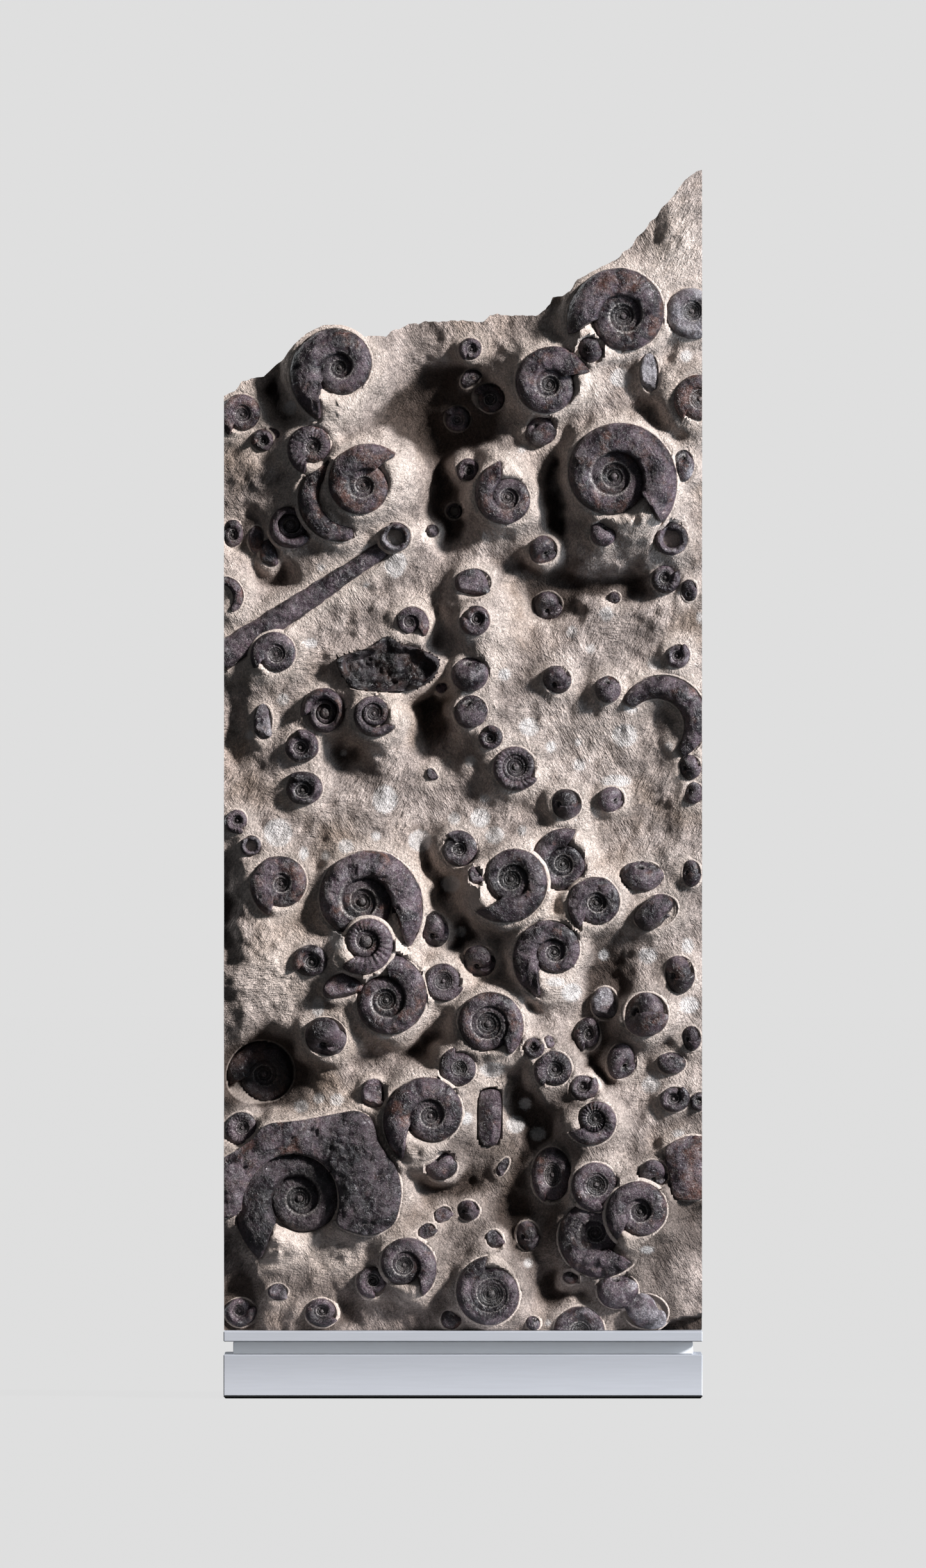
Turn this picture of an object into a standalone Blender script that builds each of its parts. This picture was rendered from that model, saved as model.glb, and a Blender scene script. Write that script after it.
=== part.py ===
# Ammonite cluster plate: a tall slab of prepared rock, crowded with coiled fossil shells, on a stepped plinth.
#
# The frame has +X to the right, the shells face -Y and +Z is up. The origin is at the centre of the foot.
# Lengths are in millimetres up to where a mesh is made, and MM turns them into metres. A shell's place is
# given from the middle of the slab's foot. A height is how far a surface stands in front of the plane y = 0.

import math
from dataclasses import dataclass

import bmesh
import bpy
import numpy as np
from mathutils import Matrix, Vector
from mathutils.geometry import delaunay_2d_cdt

MM = 0.001
OBJECT_NAME = "ammonite_cluster_plate"

# The plinth
PLINTH_WIDTH = 600.0
PLINTH_DEPTH = 260.0
FOOT_HEIGHT = 3.0
FOOT_CHAMFER = 2.5
BLOCK_HEIGHT = 52.0
NECK_HEIGHT = 16.0
NECK_INSET = 12.0
NECK_FRONT_INSET = 20.0
TOP_HEIGHT = 13.0
EDGE_BEVEL = 1.0
SEAT_GAP = 0.3
SLAB_FOOT = FOOT_HEIGHT + BLOCK_HEIGHT + NECK_HEIGHT + TOP_HEIGHT

# The slab
HALF_WIDTH = 300.0
BACK_DEPTH = 70.0
BACK_ROUGHNESS = 5.0
GROUND_HEIGHT = 30.0
LOWEST_HEIGHT = -14.0
SWELL_POWER = 1.3
WAVE_HEIGHT = 3.0
SIDE_STEP = 48.0
GROUND_STEP = 46.0
BACK_STEP = 110.0
GROUND_SPACING = 26.0
FOOT_SPACING = 10.5
LUMP_SPACING = 5.0
PEDESTAL_SPREAD = 13.0
SMALL_SPREAD = 9.0
LINK_REACH = 36.0
LINK_SHARE = 0.55
BLEND = 5.0

# The joint between a shell and the rock
PAD_MARGIN = 0.6
CLIFF_MARGIN = 1.6
CUT_MARGIN = 2.2
APERTURE_GAP = math.radians(9.0)

# How far loose points keep from an outline, the share of a pedestal's spread at which a ring of points runs,
# the share of a lump's radius at which its points lie, and how near counts as the same place
POINT_MARGIN = 3.0
RING_SHARE = 0.9
LUMP_RIM = 0.97
ON_OUTLINE = 0.05
PLAN_TOLERANCE = 0.02
SAME_PLACE = 0.01
SAME_BACK_PLACE = 0.002
CUT_TOLERANCE = 0.0001
SHARPEST_CORNER = 0.3

# A coil whose reach is LARGE_COIL or more also shows its inner whorls as a boss
LARGE_COIL = 55.0
BALL_SIDES = 10
BALL_RINGS = 6
ROD_SIDES = 12
BOSS_HEIGHT = 0.30
BACK_MARGIN = 0.3
BACK_CLEARANCE = 0.4

# Half a crescent's section, as shares of its half width: across and towards the front
CRESCENT_SECTION = [(-1.0, 0.0), (-0.75, 0.6), (0.05, 0.85), (0.8, 0.55), (1.0, 0.0)]

# Colours, roughness and metallic values
STONE = (0.42, 0.36, 0.30)
SHELL = (0.085, 0.070, 0.075)
METAL = (0.55, 0.58, 0.62)
RECESS = (0.28, 0.30, 0.32)
RUBBER = (0.02, 0.02, 0.02)

# The slab's broken top edge, from the left side to the right side
TOP_EDGE = [
    (-300, 1172), (-277, 1190), (-249, 1198), (-227, 1218), (-207, 1242), (-177, 1260), (-159, 1260),
    (-131, 1245),
    (-95, 1246), (-81, 1254), (-69, 1263), (-25, 1266), (25, 1265), (46, 1275), (95, 1273), (110, 1288),
    (137, 1307),
    (142, 1317), (187, 1342), (213, 1362), (234, 1390), (247, 1404), (270, 1434), (281, 1444), (300, 1456),
]

# The hollow under the natural edge at the slab's lower right corner
CORNER_HOLLOW = [(243, -5), (250, 4), (262, 10), (278, 15), (305, 18), (305, -5)]
HOLLOW_HEIGHT = -8.0


@dataclass
class Swell:
    """A broad rise of the ground, or a hollow where rise is negative."""

    x: float
    z: float
    width: float
    height: float
    rise: float


@dataclass
class Coil:
    """A coiled shell. Its radius grows by growth in each whorl, up to reach at the aperture's angle."""

    name: str
    x: float
    z: float
    reach: float
    aperture: float
    hand: int
    seat: float
    growth: float = 2.0
    umbilicus: float = 0.42
    columns: int = 13
    squash: float = 1.0
    crown: float = 0.27
    spread: float = PEDESTAL_SPREAD


@dataclass
class Ball:
    """A round or egg-shaped shell."""

    name: str
    x: float
    z: float
    width: float
    height: float
    tilt: float
    seat: float
    bulge: float = 0.8
    spread: float = PEDESTAL_SPREAD


@dataclass
class Crescent:
    """A length of one whorl, between two radii and two angles in degrees."""

    name: str
    x: float
    z: float
    outer: float
    inner: float
    start: float
    end: float
    seat: float
    spread: float = PEDESTAL_SPREAD


@dataclass
class Rod:
    """A straight tapering shell between two points, with its width at each."""

    name: str
    tail: tuple
    tail_width: float
    tip: tuple
    tip_width: float
    seat: float
    spread: float = PEDESTAL_SPREAD


@dataclass
class Plate:
    """A broken piece of shell with a hand-drawn outline."""

    name: str
    outline: list
    seat: float
    edge: float
    inset: float
    spread: float = PEDESTAL_SPREAD


SWELLS = [
    Swell(-222, 1165, 26, 40, -36), Swell(-24, 1142, 76, 62, -46), Swell(-22, 1035, 22, 60, -32),
    Swell(120, 1040, 18, 70, -36), Swell(175, 938, 120, 20, -24), Swell(55, 962, 50, 14, -16),
    Swell(-240, 948, 30, 24, -28), Swell(-270, 1000, 30, 32, -24), Swell(-90, 812, 66, 38, -20),
    Swell(-38, 800, 30, 66, -34), Swell(-45, 895, 26, 26, -20), Swell(-142, 722, 24, 30, -22),
    Swell(-302, 520, 16, 70, -20), Swell(-35, 570, 28, 60, -22), Swell(128, 625, 24, 26, -16),
    Swell(60, 450, 28, 46, -32), Swell(8, 500, 20, 44, -22), Swell(-8, 450, 22, 44, -20),
    Swell(185, 440, 36, 54, -20), Swell(200, 560, 30, 20, -12), Swell(-62, 360, 54, 24, -24),
    Swell(-250, 322, 56, 56, -42), Swell(165, 335, 36, 46, -26), Swell(105, 215, 36, 64, -30),
    Swell(145, 50, 54, 32, -28), Swell(-282, 30, 28, 40, -24), Swell(-20, 190, 50, 26, -24),
    Swell(60, 130, 28, 44, -20), Swell(107, 909, 30, 30, -24), Swell(75, 300, 28, 44, -20),
    Swell(-120, 330, 38, 16, -14), Swell(245, 350, 42, 34, -14), Swell(235, 1140, 34, 24, -22),
    Swell(-150, 20, 30, 30, -14), Swell(250, 210, 20, 40, -12), Swell(-290, 760, 16, 60, -10),
    Swell(130, 745, 100, 60, 10), Swell(-170, 625, 90, 40, 10), Swell(-235, 690, 40, 50, 8),
    Swell(-276, 455, 78, 82, 44), Swell(-175, 292, 60, 16, 16), Swell(24, 862, 30, 110, 20),
    Swell(268, 1350, 40, 80, 18), Swell(-85, 1055, 34, 44, 18), Swell(-112, 1180, 26, 50, 16),
    Swell(-270, 1085, 40, 26, 10), Swell(215, 995, 60, 24, 14), Swell(285, 1100, 24, 24, 8),
    Swell(255, 590, 40, 26, 10), Swell(215, 230, 34, 60, 8), Swell(-150, 85, 70, 28, 10),
    Swell(-200, 30, 20, 30, 8), Swell(265, 80, 40, 40, 10), Swell(160, 1180, 44, 30, 8),
    Swell(-150, 950, 110, 30, 6),
]

COILS = [
    Coil("ammonite_top_left", -155, 1207, 72, 250, 1, 62, growth=2.3, umbilicus=0.34),
    Coil("ammonite_left_edge", -277, 1149, 31, 240, 1, 42, growth=1.6, columns=10),
    Coil("ammonite_ribbed", -189, 1108, 36, 255, 1, 58, growth=1.9, columns=11),
    Coil("ammonite_domed", -125, 1060, 57, 42, -1, 66, umbilicus=0.36),
    Coil("ammonite_small_upper", -67, 888, 27, -45, -1, 46, growth=2.2, columns=10),
    Coil("ammonite_deep_upper", 34, 1168, 22, 160, 1, 12, growth=1.5, columns=10),
    Coil("ammonite_upper_centre", 56, 1045, 48, 100, -1, 60, growth=2.1, columns=12),
    Coil("ammonite_upper_right", 108, 1186, 54, 15, -1, 58, growth=1.75, umbilicus=0.34),
    Coil("ammonite_high_right", 201, 1272, 73, 200, 1, 60, growth=1.9, umbilicus=0.40, columns=15),
    Coil("ammonite_pale_edge", 287, 1278, 36, 300, 1, 52, growth=1.4, columns=11),
    Coil("ammonite_brown_edge", 297, 1168, 34, 230, 1, 66, growth=1.3, columns=10, spread=24.0),
    Coil("ammonite_great_right", 189, 1071, 86, -45, -1, 66, growth=1.95, umbilicus=0.44, columns=16),
    Coil("ammonite_mid_ribbed", 66, 707, 32, -30, 1, 48, growth=1.4, umbilicus=0.58, columns=11),
    Coil("ammonite_mid_left", -235, 848, 33, 215, 1, 50, growth=1.6, columns=11),
    Coil("ammonite_on_cone", -112, 774, 33, -30, 1, 64, growth=1.9, umbilicus=0.55, columns=11, spread=17.0),
    Coil("ammonite_centre", -5, 603, 25, 130, 1, 50, growth=1.3, umbilicus=0.35, columns=10),
    Coil("ammonite_lobed", -228, 560, 42, 250, 1, 56, growth=1.5, umbilicus=0.30, columns=11),
    Coil("ammonite_great_centre", -127, 538, 84, -45, -1, 58, growth=2.1, umbilicus=0.44, columns=16),
    Coil("ammonite_tan_centre", -122, 488, 45, 226, -1, 76, growth=2.05, umbilicus=0.46, columns=12),
    Coil("ammonite_ringed", -97, 414, 62, 95, 1, 60, growth=2.05, umbilicus=0.44, columns=14),
    Coil("ammonite_small_ringed", -25, 438, 27, -15, 1, 55, growth=1.3, umbilicus=0.5, columns=10),
    Coil("ammonite_pit", -250, 321, 47, 200, 1, 0, growth=1.3, umbilicus=0.40, columns=12),
    Coil("ammonite_mid_right", 60, 566, 60, 222, -1, 68, growth=2.05, umbilicus=0.44, columns=14),
    Coil("ammonite_half_hidden", 125, 585, 47, 66, -1, 52, growth=1.9, columns=12),
    Coil("ammonite_lit_rim", 167, 536, 39, 238, 1, 62, growth=1.5, umbilicus=0.36, columns=12),
    Coil("ammonite_scarred", 114, 474, 61, 253, 1, 61, growth=2.45, umbilicus=0.38, columns=14),
    Coil("ammonite_lower_centre", 31, 384, 48, -56, -1, 60, growth=1.5, umbilicus=0.52, columns=13),
    Coil("ammonite_small_right", 115, 327, 27, 235, 1, 56, growth=1.4, columns=10),
    Coil("ammonite_small_left", -277, 254, 24, 285, 1, 46, growth=1.4, columns=10),
    Coil("ammonite_great_inner", -205, 165, 92, 238, 1, 46, growth=2.4, umbilicus=0.42, columns=16),
    Coil("ammonite_low_centre", -41, 269, 67, 238, 1, 66, growth=2.2, umbilicus=0.38, columns=14),
    Coil("ammonite_twin", -5, 329, 27, 100, -1, 58, growth=1.4, columns=10),
    Coil("ammonite_low_notched", -74, 82, 46, -60, -1, 60, growth=2.0, umbilicus=0.46, columns=12),
    Coil("ammonite_foot_centre", 35, 46, 48, 95, -1, 64, growth=1.5, umbilicus=0.55, columns=13),
    Coil("ammonite_beaded", 165, 265, 37, 205, -1, 60, growth=2.05, umbilicus=0.48, columns=11),
    Coil("ammonite_egg", 112, 195, 37, 250, 1, 34, growth=1.15, umbilicus=0.4, columns=11, squash=0.72),
    Coil("ammonite_fine_ringed", 167, 182, 34, -70, 1, 60, growth=1.35, umbilicus=0.5, columns=11),
    Coil("ammonite_low_right", 222, 149, 46, 232, 1, 67, growth=1.6, umbilicus=0.38, columns=12),
    Coil("ammonite_broken_half", 166, 122, 62, -38, 1, 50, growth=2.1, umbilicus=0.36, columns=13),
    Coil("ammonite_foot_cut", 147, -2, 34, 200, 1, 44, growth=1.2, columns=10),
]

BALLS = [
    Ball("goniatite_heart", 9, 823, 23, 22, 0, 50),
    Ball("goniatite_shiny", 130, 660, 19, 19, 0, 52),
    Ball("goniatite_left", -172, 368, 26, 25, 0, 56),
    Ball("goniatite_pale_arc", 230, 396, 28, 28, 0, 54),
    Ball("goniatite_venter", 242, 525, 29, 21, 20, 48, bulge=0.9),
    Ball("goniatite_foot", 194, 50, 26, 23, 0, 46),
    Ball("knob_foot", 229, 24, 29, 22, -10, 40),
]

CRESCENTS = [
    Crescent("whorl_beside_dome", -148, 1045, 60, 32, 112, 284, 52),
    Crescent("whorl_left_edge", -303, 920, 28, 14, 96, -56, 46),
    Crescent("whorl_right", 247, 762, 62, 29, 150, -56, 44),
]

RODS = [
    Rod("straight_shell", (-306, 843), 37, (-88, 988), 15, 40),
]

PLATES = [
    Plate(
        "great_whorl_plate",
        [
            (-306, 214), (-284, 226), (-264, 240), (-248, 260), (-205, 263), (-165, 271), (-133, 277),
            (-113, 266),
            (-106, 234), (-82, 203), (-76, 172), (-84, 134), (-104, 121), (-124, 118), (-162, 131),
            (-154, 160),
            (-160, 191), (-179, 213), (-207, 223), (-237, 218), (-261, 199), (-276, 172), (-278, 146),
            (-306, 138),
        ],
        62, 9.0, 6.0,
    ),
    Plate(
        "broken_shell",
        [
            (-162, 844), (-112, 858), (-97, 873), (-77, 860), (-57, 857), (-29, 843), (-30, 829), (-41, 813),
            (-67, 801), (-115, 801), (-139, 805), (-154, 823),
        ],
        46, 8.0, 7.0,
    ),
    Plate(
        "shell_block_right",
        [(252, 226), (262, 237), (284, 245), (306, 243), (306, 165), (286, 163), (263, 165), (258, 200)],
        50, 10.0, 7.0,
    ),
    Plate("shell_block_low", [(18, 231), (47, 231), (49, 300), (34, 304), (19, 300)], 26, 10.0, 6.0),
]

# Small shells that grow out of the slab as lumps: x, z, half width, half height, tilt, rise above the ground
LUMPS = [
    (-252, 1117, 14, 14, 0, 12), (-217, 1007, 26, 26, 0, 10), (-257, 990, 12, 20, 0, 10),
    (-243, 975, 12, 18, 0, 8),
    (-288, 1000, 12, 17, 0, 8), (-85, 995, 20, 19, 0, 16), (-38, 1003, 8, 8, 0, 8), (-7, 1144, 16, 16, 0, 6),
    (9, 1231, 14, 14, 0, 12), (10, 1195, 15, 10, 45, 8), (-11, 1028, 10, 10, 0, 12), (6, 1080, 14, 14, 0, 19),
    (101, 979, 18, 18, 0, 14), (98, 1128, 20, 19, 0, 14), (160, 1230, 16, 16, 0, 34),
    (234, 1201, 12, 25, 0, 18),
    (277, 1085, 13, 20, 0, 25), (176, 999, 16, 16, 0, 19), (262, 993, 21, 21, 0, 10),
    (255, 942, 18, 18, 0, 14),
    (284, 928, 10, 14, 0, 8), (107, 909, 18, 18, 0, 3), (13, 938, 23, 18, 0, 10), (15, 890, 19, 19, 0, 14),
    (10, 776, 21, 21, 0, 12), (35, 744, 15, 15, 0, 12), (186, 666, 17, 16, 0, 16), (118, 816, 18, 18, 0, 16),
    (182, 804, 16, 17, 0, 14), (270, 846, 15, 15, 0, 16), (285, 706, 14, 16, 0, 12),
    (290, 674, 12, 14, 0, 12),
    (-176, 778, 28, 28, 0, 12), (-251, 763, 12, 23, 0, 12), (-202, 733, 21, 21, 0, 14),
    (-199, 680, 23, 21, 0, 16),
    (-285, 638, 14, 15, 0, 12), (-266, 608, 13, 13, 0, 12), (-35, 502, 17, 22, 0, 22),
    (-192, 464, 22, 20, 0, 16),
    (-151, 432, 26, 16, 20, 31), (225, 570, 27, 19, 0, 22), (287, 573, 12, 17, 0, 14),
    (21, 463, 20, 20, 0, 18),
    (178, 410, 17, 21, 0, 14), (156, 371, 16, 21, 0, 14), (272, 446, 19, 24, 0, 12),
    (287, 366, 12, 16, 0, 12),
    (89, 354, 13, 13, 0, 29), (200, 337, 19, 23, 0, 16), (262, 335, 18, 14, 0, 12),
    (-112, 297, 16, 19, 0, 19),
    (-27, 206, 20, 18, 0, 40), (-45, 124, 12, 10, 40, 19), (-25, 145, 12, 10, 40, 10), (7, 150, 14, 13, 0, 8),
    (-115, 60, 19, 20, 0, 14), (-232, 48, 13, 11, 0, 8), (50, 205, 6, 13, -30, 5), (152, 304, 18, 16, 0, 34),
    (239, 196, 19, 18, 0, 27), (82, 118, 15, 19, 0, 14), (266, 290, 19, 16, 0, 14), (40, 114, 10, 13, 30, 20),
    (-279, 22, 20, 18, 0, 10), (-178, 22, 20, 18, 0, 14),
]
LUMP_BULGE = 0.55
LUMP_SIDES = 6
LUMP_FOOT = 9.0


def turned(x, z, degrees):
    """The point x, z turned counter-clockwise in the slab's front view."""
    angle = math.radians(degrees)
    return x * math.cos(angle) - z * math.sin(angle), x * math.sin(angle) + z * math.cos(angle)


def coil_columns(coil):
    """The angle and radius of each column of a coil, from the aperture back around one turn."""
    turn = 2.0 * math.pi - APERTURE_GAP
    columns = []
    for index in range(coil.columns):
        back = turn * index / (coil.columns - 1)
        radius = coil.reach * coil.growth ** (-back / (2.0 * math.pi))
        columns.append((math.radians(coil.aperture) - coil.hand * back, radius))
    return columns


def crescent_columns(piece, count=9):
    """The angle and half width of each column of a crescent, thin at its two ends."""
    columns = []
    for index in range(count):
        share = index / (count - 1)
        angle = math.radians(piece.start + (piece.end - piece.start) * share)
        half = (piece.outer - piece.inner) / 2.0 * (0.45 + 0.55 * math.sin(math.pi * share) ** 0.6)
        columns.append((angle, half))
    return columns


def outline_of(piece):
    """A shell's outline on the slab, counter-clockwise, in millimetres."""
    if isinstance(piece, Coil):
        points = [
            (piece.x + radius * math.cos(angle) * piece.squash, piece.z + radius * math.sin(angle))
            for angle, radius in coil_columns(piece)
        ]
        return points if piece.hand < 0 else points[::-1]
    if isinstance(piece, Ball):
        points = []
        for index in range(BALL_SIDES):
            angle = 2.0 * math.pi * (index + 0.5) / BALL_SIDES
            dx, dz = turned(piece.width * math.cos(angle), piece.height * math.sin(angle), piece.tilt)
            points.append((piece.x + dx, piece.z + dz))
        return points
    if isinstance(piece, Crescent):
        middle = (piece.outer + piece.inner) / 2.0
        columns = crescent_columns(piece)
        outside = [(middle + half, angle) for angle, half in columns]
        inside = [(middle - half, angle) for angle, half in columns]
        ring = outside + inside[::-1]
        points = [(piece.x + r * math.cos(a), piece.z + r * math.sin(a)) for r, a in ring]
        return points if signed_area(points) > 0 else points[::-1]
    if isinstance(piece, Rod):
        axis = Vector((piece.tip[0] - piece.tail[0], piece.tip[1] - piece.tail[1])).normalized()
        across = Vector((-axis.y, axis.x))
        tail, tip = Vector(piece.tail), Vector(piece.tip)
        corners = [
            tail - across * piece.tail_width / 2.0, tip - across * piece.tip_width / 2.0,
            tip + across * piece.tip_width / 2.0, tail + across * piece.tail_width / 2.0,
        ]
        return [tuple(corner) for corner in corners]
    return piece.outline if signed_area(piece.outline) > 0 else piece.outline[::-1]


def signed_area(points):
    """The area inside an outline, positive if it runs counter-clockwise."""
    following = points[1:] + points[:1]
    return 0.5 * sum(a[0] * b[1] - b[0] * a[1] for a, b in zip(points, following))


def grown(points, margin):
    """A counter-clockwise outline moved outwards by margin, with its corners kept."""
    result = []
    for index, point in enumerate(points):
        before = Vector(point) - Vector(points[index - 1])
        after = Vector(points[(index + 1) % len(points)]) - Vector(point)
        first = Vector((before.y, -before.x)).normalized()
        second = Vector((after.y, -after.x)).normalized()
        stretch = max(SHARPEST_CORNER, 1.0 + first.dot(second))
        result.append(tuple(Vector(point) + (first + second) * margin / stretch))
    return result


def distance_outside(x, z, points):
    """The distance of each place to an outline, negative inside it. x and z are arrays."""
    corners = np.array(points)
    following = np.roll(corners, -1, axis=0)
    nearest = np.full(x.shape, 1e9)
    inside = np.zeros(x.shape, dtype=bool)
    for (ax, az), (bx, bz) in zip(corners, following):
        ex, ez = bx - ax, bz - az
        share = np.clip(((x - ax) * ex + (z - az) * ez) / (ex * ex + ez * ez), 0.0, 1.0)
        nearest = np.minimum(nearest, np.hypot(x - ax - share * ex, z - az - share * ez))
        crosses = (az > z) != (bz > z)
        inside ^= crosses & (x < ax + (z - az) * ex / (ez if ez else 1e-9))
    return np.where(inside, -nearest, nearest)


def ground(x, z, hollows=True):
    """The height of the bare ground between the shells, with or without the hollows."""
    height = np.full(x.shape, GROUND_HEIGHT)
    height += WAVE_HEIGHT * np.sin(x / 31.0 + 1.3 * np.sin(z / 57.0))
    height += WAVE_HEIGHT * np.sin(z / 43.0 + 1.1 * np.sin(x / 49.0))
    for swell in SWELLS:
        away = ((x - swell.x) / swell.width) ** 2 + ((z - swell.z) / swell.height) ** 2
        if swell.rise > 0.0 or hollows:
            height += swell.rise * np.exp(-(away ** SWELL_POWER))
    return np.maximum(height, LOWEST_HEIGHT)


def higher(a, b):
    """The greater of two heights, with a soft fillet where they meet."""
    share = np.clip(0.5 + 0.5 * (a - b) / BLEND, 0.0, 1.0)
    return b * (1.0 - share) + a * share + BLEND * share * (1.0 - share) * 0.5


def surface(x, z, pieces):
    """The height of the slab's front, with a concave pedestal around each shell and a dome on each lump."""
    base, plain = ground(x, z), ground(x, z, hollows=False)
    height = base.copy()
    for piece in pieces:
        reach = np.maximum(distance_outside(x, z, outline_of(piece)), 0.0)
        height = higher(height, base + np.maximum(piece.seat - base, 0.0) * np.exp(-reach / piece.spread))
        link = LINK_SHARE * np.maximum(piece.seat - plain, 0.0) * np.exp(-((reach / LINK_REACH) ** 2))
        height = higher(height, base + link)
    for lx, lz, width, tall, tilt, rise in LUMPS:
        dx, dz = turned(x - lx, z - lz, -tilt)
        share = np.hypot(dx / width, dz / tall)
        seat = ground(np.array([float(lx)]), np.array([float(lz)]))[0] + rise
        reach = np.maximum(share - 1.0, 0.0) * math.sqrt(width * tall)
        height = higher(height, base + np.maximum(seat - base, 0.0) * np.exp(-reach / SMALL_SPREAD))
        dome = LUMP_BULGE * min(width, tall) * np.sqrt(np.clip(1.0 - share ** 2, 0.0, 1.0))
        height = np.where(share < 1.0, np.maximum(height, seat + dome), height)
    return height


def slab_outline():
    """The slab's outline in the front view, counter-clockwise, with points along its sawn sides and foot."""
    left_top, right_top = TOP_EDGE[0], TOP_EDGE[-1]
    foot_count = round(2.0 * HALF_WIDTH / SIDE_STEP)
    foot = [(-HALF_WIDTH + 2.0 * HALF_WIDTH * i / foot_count, 0.0) for i in range(foot_count)]
    right_count = round(right_top[1] / SIDE_STEP)
    right = [(HALF_WIDTH, right_top[1] * i / right_count) for i in range(right_count)]
    left_count = round(left_top[1] / SIDE_STEP)
    left = [(-HALF_WIDTH, left_top[1] * (1.0 - i / left_count)) for i in range(1, left_count)]
    return foot + right + TOP_EDGE[::-1] + left


def new_material(name, colour, roughness, metallic=0.0):
    """A plain Principled material."""
    material = bpy.data.materials.new(name)
    material.use_nodes = True
    shader = material.node_tree.nodes["Principled BSDF"]
    shader.inputs["Base Color"].default_value = (*colour, 1.0)
    shader.inputs["Roughness"].default_value = roughness
    shader.inputs["Metallic"].default_value = metallic
    material.diffuse_color = (*colour, 1.0)
    return material


def new_object(name, bm, collection, material=None, place=(0.0, 0.0, 0.0)):
    """An object made of a bmesh drawn in millimetres, whose origin is at place, also in millimetres."""
    bmesh.ops.scale(bm, vec=(MM, MM, MM), verts=bm.verts)
    bmesh.ops.recalc_face_normals(bm, faces=bm.faces)
    mesh = bpy.data.meshes.new(name)
    bm.to_mesh(mesh)
    bm.free()
    obj = bpy.data.objects.new(name, mesh)
    obj.location = Vector(place) * MM
    collection.objects.link(obj)
    if material:
        mesh.materials.append(material)
    return obj


def open_edges(bm):
    """The edges that have one face."""
    return [edge for edge in bm.edges if len(edge.link_faces) == 1]


def coil_mesh(coil):
    """A coil about its own centre: a whorl's profile swept back around one turn, shrinking as it goes."""
    bm = bmesh.new()
    inner = coil.umbilicus
    crest = (1.0 + inner) / 2.0
    crown = coil.crown
    profile = [
        (0.5 * inner, 0.62 * crown), (inner, 0.45 * crown), (crest, crown), (0.93, 0.66 * crown), (1.0, 0.0),
    ]
    if coil.reach < LARGE_COIL:
        profile = profile[1:]
    columns = coil_columns(coil)
    angle, radius = columns[0]
    chain = [
        bm.verts.new((radius * share * math.cos(angle), -radius * tall, radius * share * math.sin(angle)))
        for share, tall in profile
    ]
    edges = [bm.edges.new(pair) for pair in zip(chain, chain[1:])]
    first = chain
    for (old_angle, old_radius), (angle, radius) in zip(columns, columns[1:] + columns[:1]):
        geometry = bmesh.ops.extrude_edge_only(bm, edges=edges)["geom"]
        chain = [item for item in geometry if isinstance(item, bmesh.types.BMVert)]
        edges = [item for item in geometry if isinstance(item, bmesh.types.BMEdge)]
        turn = Matrix.Rotation(old_angle - angle, 3, "Y")
        bmesh.ops.rotate(bm, cent=(0.0, 0.0, 0.0), matrix=turn, verts=chain)
        bmesh.ops.scale(bm, vec=(radius / old_radius,) * 3, verts=chain)
    bmesh.ops.remove_doubles(bm, verts=first + chain, dist=SAME_PLACE)
    loops = open_edges(bm)
    centre = [edge for edge in loops if all(vert.co.y < -SAME_PLACE for vert in edge.verts)]
    rim = [edge for edge in loops if edge not in centre]
    hole = bmesh.ops.edgeloop_fill(bm, edges=centre)["faces"]
    boss = bmesh.ops.poke(bm, faces=hole, offset=0.0)["verts"]
    for vert in boss:
        vert.co = (0.0, -BOSS_HEIGHT * crown * coil.reach / coil.growth, 0.0)
    bmesh.ops.edgeloop_fill(bm, edges=rim)
    bmesh.ops.scale(bm, vec=(coil.squash, 1.0, 1.0), verts=bm.verts)
    return bm


def ball_mesh(ball):
    """The front half of an egg about its own centre."""
    bm = bmesh.new()
    bmesh.ops.create_uvsphere(bm, u_segments=BALL_SIDES, v_segments=BALL_RINGS, radius=1.0)
    bmesh.ops.rotate(bm, cent=(0.0, 0.0, 0.0), matrix=Matrix.Rotation(math.pi / 2.0, 3, "X"), verts=bm.verts)
    behind = [vert for vert in bm.verts if vert.co.y > SAME_PLACE]
    bmesh.ops.delete(bm, geom=behind, context="VERTS")
    bmesh.ops.edgeloop_fill(bm, edges=open_edges(bm))
    depth = ball.bulge * min(ball.width, ball.height)
    bmesh.ops.scale(bm, vec=(ball.width, depth, ball.height), verts=bm.verts)
    turn = Matrix.Rotation(-math.radians(ball.tilt), 3, "Y")
    bmesh.ops.rotate(bm, cent=(0.0, 0.0, 0.0), matrix=turn, verts=bm.verts)
    return bm


def crescent_mesh(piece):
    """A crescent about its own centre: a closed half-round profile swept along its arc."""
    bm = bmesh.new()
    middle = (piece.outer + piece.inner) / 2.0
    profile = CRESCENT_SECTION
    loops = []
    for angle, half in crescent_columns(piece):
        if not loops:
            verts = [bm.verts.new() for _ in profile]
            edges = [bm.edges.new(pair) for pair in zip(verts, verts[1:] + verts[:1])]
        else:
            geometry = bmesh.ops.extrude_edge_only(bm, edges=edges)["geom"]
            verts = [item for item in geometry if isinstance(item, bmesh.types.BMVert)]
            edges = [item for item in geometry if isinstance(item, bmesh.types.BMEdge)]
            verts = [
                next(v for v in verts if any(e.other_vert(v) is old for e in v.link_edges)) for old in loops[-1]
            ]
        for vert, (across, tall) in zip(verts, profile):
            radius = middle + across * half
            vert.co = (radius * math.cos(angle), -tall * half, radius * math.sin(angle))
        loops.append(verts)
    for edge_loop in (loops[0], loops[-1]):
        bmesh.ops.contextual_create(bm, geom=edge_loop)
    return bm


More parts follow.
